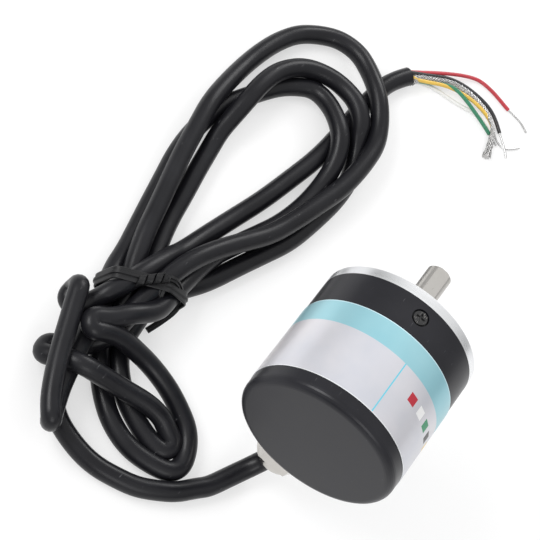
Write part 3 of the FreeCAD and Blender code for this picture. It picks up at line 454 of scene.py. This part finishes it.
def tieEnd(number):
    # an end winds round the twist's axis, half a turn from the other one, then runs free
    start, stop = np.array(twistTie["twist"]) * mm
    axis = (stop - start) / np.linalg.norm(stop - start)
    side = np.cross(axis, (0, 0, 1))
    side /= np.linalg.norm(side)
    lift = np.cross(side, axis)
    share = np.linspace(0, 1, twistTie["twistSteps"])[:, None]
    angle = math.pi * number + 2 * math.pi * twistTie["twistTurns"] * share
    spin = side * np.cos(angle) + lift * np.sin(angle)
    wound = start + (stop - start) * share + spin * twistTie["twistRadius"]
    corners = np.concatenate([wound[-1:], np.array(twistTie["ends"][number]) * mm])
    free = softPath(corners, twistTie["endSteps"])[1:]
    path = np.concatenate([wound, free])
    # the strip's width follows the spin in the twist and lies level after it
    flat = np.cross(axis, spin)
    level = np.cross(np.gradient(free, axis=0), (0, 0, 1))
    level /= np.maximum(np.linalg.norm(level, axis=1)[:, None], 1e-9)
    if (level[0] * flat[-1]).sum() < 0:
        level = -level
    blend = np.clip(np.arange(len(free)) / twistTie["levelAfter"], 0, 1)[:, None]
    return path, np.concatenate([flat, flat[-1] * (1 - blend) + level * blend])


def stripProfile(wide):
    # a flat strip with a low ridge in the middle of its outer face, counted round from its right edge
    half, thick, high = wide / 2, twistTie["thick"] / 2, twistTie["thick"] / 2 + twistTie["ridge"]
    face, foot, top = half * twistTie["face"], half * twistTie["ridgeFoot"], half * twistTie["ridgeTop"]
    upper = [(half, thick / 2), (face, thick), (foot, thick), (top, high),
             (-top, high), (-foot, thick), (-face, thick), (-half, thick / 2)]
    lower = [(-x, -min(y, thick)) for x, y in upper]
    return np.array(upper + lower)


tiePath, tieAlong = tieBand()
tieGrid = bandAlong(tiePath, tieAlong, stripProfile(twistTie["wide"]), closed=True)
tiePieces = [gridMesh("twistTie", tieGrid, closedRows=True, closedColumns=True)]
for number in (0, 1):
    path, hint = tieEnd(number)
    endGrid = bandAlong(path, hint, stripProfile(twistTie["endWide"]))
    tiePieces.append(gridMesh("tieEnd_%d" % (number + 1), endGrid, closedColumns=True, caps=True))
for piece in tiePieces:
    piece.data.set_sharp_from_angle(angle=math.radians(twistTie["sharpAngle"]))
    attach(piece, "housing")
    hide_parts("twist_tie")
print("twist tie wound")


# Shader groups. Each reads Object coordinates and gives masks and heights that change over the surface.
def newGroup(name, inputs, outputs):
    # a group with inputs (name, kind, value) and with outputs that are plain numbers
    group = bpy.data.node_groups.new(name, "ShaderNodeTree")
    for socketName, kind, value in inputs:
        socket = group.interface.new_socket(socketName, in_out="INPUT", socket_type=kind)
        socket.default_value = value
    for socketName in outputs:
        group.interface.new_socket(socketName, in_out="OUTPUT", socket_type="NodeSocketFloat")
    start = group.nodes.new("NodeGroupInput")
    end = group.nodes.new("NodeGroupOutput")
    return group, start.outputs, end.inputs


def addNode(tree, kind, values=(), **settings):
    # a node with its settings, and its inputs linked to sockets or set to values
    node = tree.nodes.new(kind)
    for key, value in settings.items():
        setattr(node, key, value)
    for key, value in dict(values).items():
        if isinstance(value, bpy.types.NodeSocket):
            tree.links.new(value, node.inputs[key])
        else:
            node.inputs[key].default_value = value
    return node


def maths(tree, operation, first, second=0.0, third=0.0):
    values = {0: first, 1: second, 2: third}
    return addNode(tree, "ShaderNodeMath", values, operation=operation).outputs[0]


def vectorMaths(tree, operation, first, second, output="Vector"):
    values = {0: first, 1: second}
    return addNode(tree, "ShaderNodeVectorMath", values, operation=operation).outputs[output]


def mapRange(tree, value, low, high, toLow=0.0, toHigh=1.0):
    # the stretch from low to high laid on the stretch from toLow to toHigh, and held at its ends
    inputs = {"Value": value, "From Min": low, "From Max": high, "To Min": toLow, "To Max": toHigh}
    return addNode(tree, "ShaderNodeMapRange", inputs).outputs[0]


def noise(tree, inputs, **settings):
    return addNode(tree, "ShaderNodeTexNoise", inputs, **settings).outputs[0]


def objectPlace(tree):
    return addNode(tree, "ShaderNodeTexCoord").outputs["Object"]


def makeGrainGroup():
    # grain: fine noise for the bump; cloud: coarse noise for slow drifts of colour and gloss
    inputs = [("Scale", "NodeSocketFloat", 4000.0), ("Cloud Scale", "NodeSocketFloat", 60.0)]
    group, given, result = newGroup("grainGroup", inputs, ["Grain", "Cloud"])
    place = objectPlace(group)
    fine = {"Vector": place, "Scale": given["Scale"], "Detail": 3.0, "Roughness": 0.6}
    coarse = {"Vector": place, "Scale": given["Cloud Scale"], "Detail": 4.0, "Roughness": 0.55}
    group.links.new(noise(group, fine), result["Grain"])
    group.links.new(noise(group, coarse), result["Cloud"])
    return group


def makeLatheGroup(bandShare=0.12):
    # tool marks of a turned part: noise of (distance along the axis + distance from the axis), with
    # bands of the same noise at a share of its scale
    inputs = [("Centre", "NodeSocketVector", (0, 0, 0)), ("Axis", "NodeSocketVector", (1, 0, 0)),
              ("Scale", "NodeSocketFloat", 9000.0)]
    group, given, result = newGroup("latheGroup", inputs, ["Marks", "Bands"])
    local = vectorMaths(group, "SUBTRACT", objectPlace(group), given["Centre"])
    along = vectorMaths(group, "DOT_PRODUCT", local, given["Axis"], "Value")
    inLine = addNode(group, "ShaderNodeVectorMath", {0: given["Axis"], "Scale": along}, operation="SCALE")
    across = vectorMaths(group, "SUBTRACT", local, inLine.outputs["Vector"])
    way = maths(group, "ADD", along, vectorMaths(group, "LENGTH", across, (0, 0, 0), "Value"))
    bandScale = maths(group, "MULTIPLY", given["Scale"], bandShare)
    marks = noise(group, {"W": way, "Scale": given["Scale"], "Detail": 2.0}, noise_dimensions="1D")
    bands = noise(group, {"W": way, "Scale": bandScale, "Detail": 1.0}, noise_dimensions="1D")
    group.links.new(marks, result["Marks"])
    group.links.new(bands, result["Bands"])
    return group


def makeScuffGroup(stretch=(1, 6, 2.5), turn=(0.4, 0.9, 0.3), softEdge=0.06):
    # scuffs: a few long thin specks where stretched noise is above a level
    inputs = [("Scale", "NodeSocketFloat", 300.0), ("Level", "NodeSocketFloat", 0.68)]
    group, given, result = newGroup("scuffGroup", inputs, ["Scuffs"])
    mapping = {"Vector": objectPlace(group), "Rotation": turn, "Scale": stretch}
    stretched = addNode(group, "ShaderNodeMapping", mapping).outputs[0]
    specks = noise(group, {"Vector": stretched, "Scale": given["Scale"], "Detail": 2.0})
    top = maths(group, "ADD", given["Level"], softEdge)
    group.links.new(mapRange(group, specks, given["Level"], top), result["Scuffs"])
    return group


grainGroup = makeGrainGroup()
latheGroup = makeLatheGroup()
scuffGroup = makeScuffGroup()
# centre and axis of the turned parts
aboutX = ((0, 0, 0), (1, 0, 0))
aboutGland = ((-26 * mm, 0, 0), (0, 0, 1))

# Finishes: colour, the shade it drifts to, roughness and its drift, metal, specular level, coat, grain
# (scale, height), tool marks (axis, scale, height) and scuffs (scale, level, shade). Heights are in
# metres.
finishes = {
    "aluminiumFlange": dict(
        colour=(0.86, 0.87, 0.88), drift=(0.75, 0.76, 0.78), rough=0.30, roughDrift=0.08, metal=1.0,
        grain=(5000, 1e-6), lathe=(aboutX, 7000, 4e-6), scuffs=(500, 0.70, (0.55, 0.55, 0.56))),
    "blackCover": dict(
        colour=(0.0095, 0.0095, 0.0125), drift=(0.015, 0.015, 0.019), rough=0.34, roughDrift=0.05,
        metal=0.0, specular=0.23, coat=0.06, coatRough=0.25, grain=(2600, 5e-6),
        scuffs=(420, 0.74, (0.08, 0.08, 0.085))),
    "blackScrew": dict(
        colour=(0.02, 0.02, 0.021), drift=(0.045, 0.045, 0.046), rough=0.36, roughDrift=0.1, metal=0.6,
        grain=(6000, 3e-6), scuffs=(900, 0.62, (0.25, 0.24, 0.23))),
    "groundShaft": dict(
        colour=(0.58, 0.565, 0.54), drift=(0.48, 0.465, 0.44), rough=0.32, roughDrift=0.08, metal=1.0,
        grain=(5000, 1e-6), lathe=(aboutX, 16000, 3e-6), scuffs=(700, 0.7, (0.36, 0.34, 0.32))),
    "bearingSteel": dict(
        colour=(0.62, 0.63, 0.65), drift=(0.52, 0.53, 0.55), rough=0.14, roughDrift=0.05, metal=1.0,
        grain=(7000, 5e-7), lathe=(aboutX, 18000, 1e-6)),
    "shieldSteel": dict(
        colour=(0.48, 0.49, 0.50), drift=(0.38, 0.39, 0.40), rough=0.30, roughDrift=0.1, metal=1.0,
        grain=(6000, 2e-6), lathe=(aboutX, 12000, 3e-6)),
    "spacerSteel": dict(
        colour=(0.50, 0.50, 0.51), drift=(0.40, 0.40, 0.41), rough=0.35, roughDrift=0.08, metal=1.0,
        grain=(6000, 1e-6), lathe=(aboutX, 9000, 5e-6)),
    "clipSteel": dict(
        colour=(0.12, 0.12, 0.125), drift=(0.2, 0.2, 0.2), rough=0.42, roughDrift=0.1, metal=0.9,
        grain=(5000, 3e-6), scuffs=(900, 0.66, (0.4, 0.4, 0.4))),
    "hubBrass": dict(
        colour=(0.66, 0.48, 0.22), drift=(0.54, 0.38, 0.16), rough=0.28, roughDrift=0.08, metal=1.0,
        grain=(5000, 1e-6), lathe=(aboutX, 9000, 5e-6)),
    "zincScrew": dict(
        colour=(0.55, 0.55, 0.56), drift=(0.44, 0.45, 0.48), rough=0.3, roughDrift=0.08, metal=1.0,
        grain=(6000, 2e-6), scuffs=(900, 0.66, (0.3, 0.3, 0.3))),
    "chipPlastic": dict(
        colour=(0.022, 0.022, 0.024), drift=(0.035, 0.035, 0.037), rough=0.55, roughDrift=0.06,
        metal=0.0, grain=(9000, 6e-6)),
    "maskMetal": dict(
        colour=(0.5, 0.5, 0.52), drift=(0.4, 0.4, 0.42), rough=0.2, roughDrift=0.06, metal=1.0,
        grain=(6000, 1e-6), scuffs=(900, 0.7, (0.3, 0.3, 0.3))),
    "postBrass": dict(
        colour=(0.70, 0.52, 0.25), drift=(0.58, 0.42, 0.2), rough=0.3, roughDrift=0.08, metal=1.0,
        grain=(5000, 2e-6), scuffs=(700, 0.7, (0.42, 0.3, 0.15))),
    "socketPlastic": dict(
        colour=(0.76, 0.75, 0.69), drift=(0.68, 0.66, 0.6), rough=0.35, roughDrift=0.06, metal=0.0,
        grain=(5000, 3e-6)),
    "glandNickel": dict(
        colour=(0.60, 0.58, 0.55), drift=(0.50, 0.48, 0.45), rough=0.16, roughDrift=0.05, metal=1.0,
        grain=(5000, 1e-6), lathe=(aboutGland, 8000, 3e-6), scuffs=(600, 0.72, (0.4, 0.37, 0.33))),
    "glandRubber": dict(
        colour=(0.02, 0.02, 0.021), drift=(0.03, 0.03, 0.031), rough=0.6, roughDrift=0.08, metal=0.0,
        grain=(4000, 8e-6)),
    "cableJacket": dict(
        colour=(0.006, 0.006, 0.0078), drift=(0.0105, 0.0105, 0.013), rough=0.34, roughDrift=0.06,
        metal=0.0, specular=0.26, grain=(1800, 9e-6), scuffs=(260, 0.72, (0.07, 0.07, 0.075))),
    "tiePlastic": dict(
        colour=(0.006, 0.006, 0.007), drift=(0.012, 0.012, 0.013), rough=0.42, roughDrift=0.1,
        metal=0.0, specular=0.3, grain=(3000, 8e-6)),
    "tinnedCopper": dict(
        colour=(0.6, 0.6, 0.6), drift=(0.42, 0.41, 0.4), rough=0.3, roughDrift=0.1, metal=1.0,
        grain=(6000, 4e-6)),
}
# the five wires share one plastic, each with its own colour and the shade it drifts to
wirePlastic = dict(rough=0.35, roughDrift=0.06, metal=0.0, grain=(4000, 3e-6))
wireShades = {
    "redWire": ((0.47, 0.035, 0.05), (0.36, 0.025, 0.035)),
    "blackWire": ((0.02, 0.02, 0.022), (0.03, 0.03, 0.032)),
    "yellowWire": ((0.72, 0.47, 0.08), (0.62, 0.4, 0.06)),
    "greenWire": ((0.03, 0.21, 0.11), (0.025, 0.16, 0.085)),
    "whiteWire": ((0.78, 0.78, 0.76), (0.7, 0.7, 0.67)),
}
for name, (colour, drift) in wireShades.items():
    finishes[name] = dict(wirePlastic, colour=colour, drift=drift)


def placeGroup(tree, group, values):
    # a group placed in a material, with its own values
    node = tree.nodes.new("ShaderNodeGroup")
    node.node_tree = group
    for key, value in values.items():
        node.inputs[key].default_value = value
    return node


def mixColours(tree, share, first, second):
    # in a colour mix, inputs 0, 6 and 7 are the share and the two colours, and output 2 is the result
    node = tree.nodes.new("ShaderNodeMix")
    node.data_type = "RGBA"
    for slot, value in ((0, share), (6, first), (7, second)):
        if isinstance(value, bpy.types.NodeSocket):
            tree.links.new(value, node.inputs[slot])
        elif slot == 0:
            node.inputs[slot].default_value = value
        else:
            node.inputs[slot].default_value = (*value, 1)
    return node.outputs[2]


# What all finishes share: the cloud's scale and the stretch of it that counts, how far the colour
# drifts with it, how much the gloss follows the tool marks, and a scuff's depth in metres.
mixing = {
    "cloudScale": 90.0,
    "cloud": (0.32, 0.68),
    "drift": 0.85,
    "marksInGloss": 0.5,
    "scuffDepth": 3e-6,
}


def makeFinish(name, look, colourFrom=None):
    # colour drifts with the cloud, scuffs lie over it, gloss follows the cloud, and heights add up
    material = bpy.data.materials.new(name)
    material.use_nodes = True
    tree = material.node_tree
    shader = tree.nodes["Principled BSDF"]
    shader.inputs["Metallic"].default_value = look["metal"]
    shader.inputs["Specular IOR Level"].default_value = look.get("specular", 0.5)
    shader.inputs["Coat Weight"].default_value = look.get("coat", 0.0)
    shader.inputs["Coat Roughness"].default_value = look.get("coatRough", 0.2)
    scale, height = look["grain"]
    grain = placeGroup(tree, grainGroup, {"Scale": scale, "Cloud Scale": mixing["cloudScale"]})
    cloud = mapRange(tree, grain.outputs["Cloud"], *mixing["cloud"])
    if colourFrom:
        colour = colourFrom(tree)
    else:
        share = maths(tree, "MULTIPLY", cloud, mixing["drift"])
        colour = mixColours(tree, share, look["colour"], look["drift"])
    heights = maths(tree, "MULTIPLY", grain.outputs["Grain"], height)
    if "lathe" in look:
        (centre, axis), scale, height = look["lathe"]
        marks = placeGroup(tree, latheGroup, {"Centre": centre, "Axis": axis, "Scale": scale})
        heights = maths(tree, "ADD", heights, maths(tree, "MULTIPLY", marks.outputs["Marks"], height))
        both = maths(tree, "ADD", cloud, marks.outputs["Bands"])
        cloud = maths(tree, "MULTIPLY", both, mixing["marksInGloss"])
    if "scuffs" in look:
        scale, level, shade = look["scuffs"]
        scuffs = placeGroup(tree, scuffGroup, {"Scale": scale, "Level": level}).outputs[0]
        colour = mixColours(tree, scuffs, colour, shade)
        heights = maths(tree, "SUBTRACT", heights, maths(tree, "MULTIPLY", scuffs, mixing["scuffDepth"]))
    tree.links.new(colour, shader.inputs["Base Color"])
    smoothest, roughest = look["rough"] - look["roughDrift"], look["rough"] + look["roughDrift"]
    tree.links.new(mapRange(tree, cloud, 0.0, 1.0, smoothest, roughest), shader.inputs["Roughness"])
    bump = addNode(tree, "ShaderNodeBump", {"Height": heights, "Distance": 1.0, "Strength": 1.0})
    tree.links.new(bump.outputs[0], shader.inputs["Normal"])
    return material


materials = {name: makeFinish(name, look) for name, look in finishes.items()}
print(len(materials), "finishes mixed")

# Label: a satin foil with a light blue band along its front edge, a fine dividing line, and a key of
# wire colours.
label = {
    "radius": 19.14 * mm,
    # places along the shaft's axis, and how wide the fine lines are at both edges
    "front": -11.2 * mm, "frontLine": 0.2 * mm, "bandEnd": -17.2 * mm,
    "rear": -31.2 * mm, "rearLine": 0.16 * mm,
    "dividerAt": -2.08 * mm, "dividerWide": 0.32 * mm,
    # the key's row: its place along the axis, half its width there, its start round the label, the pitch
    # of its cells, and half the share of a cell that a square fills
    "keyPlace": -21.6 * mm, "keyHalf": 1.15 * mm, "keyStart": 6.2 * mm, "keyPitch": 4.0 * mm,
    "keyHalfShare": 0.29,
    "foil": (0.56, 0.57, 0.62), "warmFoil": (0.68, 0.66, 0.68),
    "blue": (0.27, 0.53, 0.60), "paleBlue": (0.34, 0.59, 0.65),
    "line": (0.16, 0.58, 0.72), "frontEdge": (0.60, 0.80, 0.86), "rearEdge": (0.86, 0.88, 0.9),
    "keyColours": [(0.5, 0.03, 0.05), (0.9, 0.9, 0.9), (0.03, 0.25, 0.12), (0.015, 0.015, 0.016),
                   (0.75, 0.5, 0.07)],
    "cloudScale": 38.0, "cloud": (0.35, 0.65),
    "finish": dict(rough=0.34, roughDrift=0.05, metal=0.5, coat=0.15, coatRough=0.2, grain=(2500, 2e-6)),
}


def labelKey(tree, x, y, z):
    # squares in a row round the label: arc length from the top, cut into cells, one colour for each
    count = len(label["keyColours"])
    turn = maths(tree, "ARCTAN2", maths(tree, "MULTIPLY", y, -1.0), z)
    arc = maths(tree, "MULTIPLY", turn, label["radius"])
    cells = maths(tree, "DIVIDE", maths(tree, "SUBTRACT", arc, label["keyStart"]), label["keyPitch"])
    inCell = maths(tree, "COMPARE", maths(tree, "FRACT", cells), 0.5, label["keyHalfShare"])
    inRow = maths(tree, "COMPARE", x, label["keyPlace"], label["keyHalf"])
    pastStart = maths(tree, "GREATER_THAN", cells, 0.0)
    beforeEnd = maths(tree, "LESS_THAN", cells, float(count))
    square = maths(tree, "MULTIPLY", inCell, inRow)
    mask = maths(tree, "MULTIPLY", square, maths(tree, "MULTIPLY", pastStart, beforeEnd))
    ramp = tree.nodes.new("ShaderNodeValToRGB")
    ramp.color_ramp.interpolation = "CONSTANT"
    while len(ramp.color_ramp.elements) < count:
        ramp.color_ramp.elements.new(0.5)
    for number, shade in enumerate(label["keyColours"]):
        ramp.color_ramp.elements[number].position = number / count
        ramp.color_ramp.elements[number].color = (*shade, 1)
    tree.links.new(maths(tree, "DIVIDE", cells, float(count)), ramp.inputs[0])
    return mask, ramp.outputs[0]


def labelColour(tree):
    x, y, z = addNode(tree, "ShaderNodeSeparateXYZ", {0: objectPlace(tree)}).outputs
    cloud = placeGroup(tree, grainGroup, {"Cloud Scale": label["cloudScale"]}).outputs["Cloud"]
    share = mapRange(tree, cloud, *label["cloud"])
    foil = mixColours(tree, share, label["foil"], label["warmFoil"])
    blue = mixColours(tree, share, label["blue"], label["paleBlue"])
    # dividing line: near y = dividerAt, on the upper side
    nearLine = maths(tree, "COMPARE", y, label["dividerAt"], label["dividerWide"] / 2)
    upper = maths(tree, "GREATER_THAN", z, 0.0)
    colour = mixColours(tree, maths(tree, "MULTIPLY", nearLine, upper), foil, label["line"])
    inKey, keyColour = labelKey(tree, x, y, z)
    colour = mixColours(tree, inKey, colour, keyColour)
    # the band, then a pale line along each edge
    inBand = maths(tree, "GREATER_THAN", x, label["bandEnd"])
    atRear = maths(tree, "LESS_THAN", x, label["rear"] + label["rearLine"])
    atFront = maths(tree, "GREATER_THAN", x, label["front"] - label["frontLine"])
    colour = mixColours(tree, inBand, colour, blue)
    colour = mixColours(tree, atRear, colour, label["rearEdge"])
    return mixColours(tree, atFront, colour, label["frontEdge"])


# Circuit board: green lacquer over faint copper tracks.
board = {
    "lacquer": (0.015, 0.12, 0.045), "track": (0.03, 0.22, 0.085),
    "trackScale": 900.0, "trackEdge": (0.42, 0.46),
    "finish": dict(rough=0.3, roughDrift=0.05, metal=0.0, coat=0.5, coatRough=0.12, grain=(3000, 3e-6)),
}


def boardColour(tree):
    # tracks: where the square distance from the nearest cell's middle is past the track's edge
    values = {"Vector": objectPlace(tree), "Scale": board["trackScale"]}
    cells = addNode(tree, "ShaderNodeTexVoronoi", values, feature="F1", distance="CHEBYCHEV")
    edge = mapRange(tree, cells.outputs["Distance"], *board["trackEdge"])
    return mixColours(tree, edge, board["lacquer"], board["track"])


# Code disc: bright inside, dark where it is etched round its track.
disc = {
    "bright": (0.6, 0.61, 0.64), "dark": (0.05, 0.05, 0.055), "brightRadius": 12.2 * mm,
    "finish": dict(rough=0.22, roughDrift=0.06, metal=0.9, grain=(6000, 1e-6),
                   lathe=(aboutX, 15000, 1e-6)),
}


def discColour(tree):
    # outer: where the distance from the shaft's axis is past the bright middle
    flat = vectorMaths(tree, "MULTIPLY", objectPlace(tree), (0, 1, 1))
    radius = vectorMaths(tree, "LENGTH", flat, (0, 0, 0), "Value")
    outer = maths(tree, "GREATER_THAN", radius, disc["brightRadius"])
    return mixColours(tree, outer, disc["bright"], disc["dark"])


materials["labelFoil"] = makeFinish("labelFoil", label["finish"], labelColour)
materials["boardLacquer"] = makeFinish("boardLacquer", board["finish"], boardColour)
materials["discMetal"] = makeFinish("discMetal", disc["finish"], discColour)
print("label, board and disc finished")

# Which finish each part of the frame gets, by the start of its name.
nodeFinishes = {
    "front_flange": "aluminiumFlange", "housing_cover": "blackCover", "cover_screw": "blackScrew",
    "label_wrap": "labelFoil", "encoder_shaft": "groundShaft", "front_bearing_shield": "shieldSteel",
    "front_bearing": "bearingSteel", "rear_bearing": "bearingSteel", "outer_spacer": "spacerSteel",
    "inner_spacer": "spacerSteel", "bearing_clip": "clipSteel", "shaft_clip": "clipSteel",
    "disc_hub": "hubBrass", "disc_clamp": "hubBrass", "hub_screw": "zincScrew",
    "board_screw": "zincScrew", "code_disc": "discMetal", "light_source": "chipPlastic",
    "light_sensor": "chipPlastic", "driver_chip": "chipPlastic", "regulator_chip": "chipPlastic",
    "index_mask": "maskMetal", "circuit_board": "boardLacquer", "board_post": "postBrass",
    "board_socket": "socketPlastic", "gland_washer": "glandRubber", "gland_bush": "glandRubber",
    "gland": "glandNickel", "cable": "cableJacket", "twist_tie": "tiePlastic", "core_red": "redWire",
    "core_black": "blackWire", "core_yellow": "yellowWire", "core_green": "greenWire",
    "core_white": "whiteWire", "shield_braid": "tinnedCopper",
}
for name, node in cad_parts.items():
    family = next(key for key in nodeFinishes if name.startswith(key))
    for place in node.material_slots:
        place.material = materials[nodeFinishes[family]]
cableCord.data.materials.append(materials["cableJacket"])
for piece in tiePieces:
    piece.data.materials.append(materials["tiePlastic"])
for name, piece in wirePieces.items():
    for finishName in dict.fromkeys((nodeFinishes[name], "tinnedCopper")):
        piece.data.materials.append(materials[finishName])
for piece in strandPieces:
    piece.data.materials.append(materials["tinnedCopper"])
print(len(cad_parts), "parts of the frame finished")

# Floor and light.
stageSetup = {"floor": wires["floor"], "reach": 4, "white": 0.93, "rough": 0.9, "ownWhite": 0.55}


def makeFloor(setup):
    # a plain sheet; for the camera and in glosses it is lifted towards white, and it keeps its shadows
    reach, level = setup["reach"], setup["floor"]
    edge = np.linspace(-reach, reach, 3)
    x, y = np.meshgrid(edge, edge)
    grid = np.stack([x, y, np.full_like(x, level)], -1)
    floor = gridMesh("floor", grid, smooth=False)
    material = bpy.data.materials.new("paleFloor")
    material.use_nodes = True
    tree = material.node_tree
    shader = tree.nodes["Principled BSDF"]
    shader.inputs["Base Color"].default_value = (setup["white"],) * 3 + (1,)
    shader.inputs["Roughness"].default_value = setup["rough"]
    glow = addNode(tree, "ShaderNodeEmission", {"Strength": 1.0})
    rays = addNode(tree, "ShaderNodeLightPath").outputs
    seen = maths(tree, "MAXIMUM", rays["Is Camera Ray"], rays["Is Glossy Ray"])
    blend = tree.nodes.new("ShaderNodeMixShader")
    tree.links.new(maths(tree, "MULTIPLY", seen, setup["ownWhite"]), blend.inputs[0])
    tree.links.new(shader.outputs[0], blend.inputs[1])
    tree.links.new(glow.outputs[0], blend.inputs[2])
    tree.links.new(blend.outputs[0], tree.nodes["Material Output"].inputs["Surface"])
    floor.data.materials.append(material)


def makeLamp(name, place, target, size, power):
    # an oblong lamp that faces along the line from its place to the target
    data = bpy.data.lights.new(name, "AREA")
    data.shape = "RECTANGLE"
    data.size, data.size_y = size
    data.energy = power
    lamp = addObject(name, data)
    lamp.location = place
    lamp.rotation_mode = "QUATERNION"
    lamp.rotation_quaternion = (Vector(target) - Vector(place)).to_track_quat("-Z", "Y")


makeFloor(stageSetup)
# every lamp points at one place; each has its own place, size and power
lampTarget = (0.01, 0.01, -0.02)
lamps = {
    "keyLamp": ((-0.25, 0.75, 0.75), (0.6, 0.4), 6.0),
    "fillLamp": ((-0.8, -0.5, 0.6), (0.5, 0.5), 2.5),
    "rimLamp": ((0.9, 0.1, 0.5), (0.5, 0.3), 3.2),
}
for name, (place, size, power) in lamps.items():
    makeLamp(name, place, lampTarget, size, power)

# Sky: grey at the horizon and bright overhead, and white where the camera looks straight at it.
sky = {"low": 0.34, "high": 0.9, "rise": 0.7}


def makeSky(setup):
    # strength grows with the height of the direction looked in, up to the rise
    world = bpy.data.worlds.new("world")
    bpy.context.scene.world = world
    world.use_nodes = True
    tree = world.node_tree
    background = tree.nodes["Background"]
    background.inputs["Color"].default_value = (1, 1, 1, 1)
    direction = addNode(tree, "ShaderNodeTexCoord").outputs["Generated"]
    height = addNode(tree, "ShaderNodeSeparateXYZ", {0: direction}).outputs[2]
    level = mapRange(tree, height, 0.0, setup["rise"], setup["low"], setup["high"])
    seen = addNode(tree, "ShaderNodeLightPath").outputs["Is Camera Ray"]
    tree.links.new(maths(tree, "MAXIMUM", level, seen), background.inputs["Strength"])


makeSky(sky)
bpy.context.scene.view_settings.view_transform = "Standard"
print("floor and light set")

bpy.context.view_layer.update()
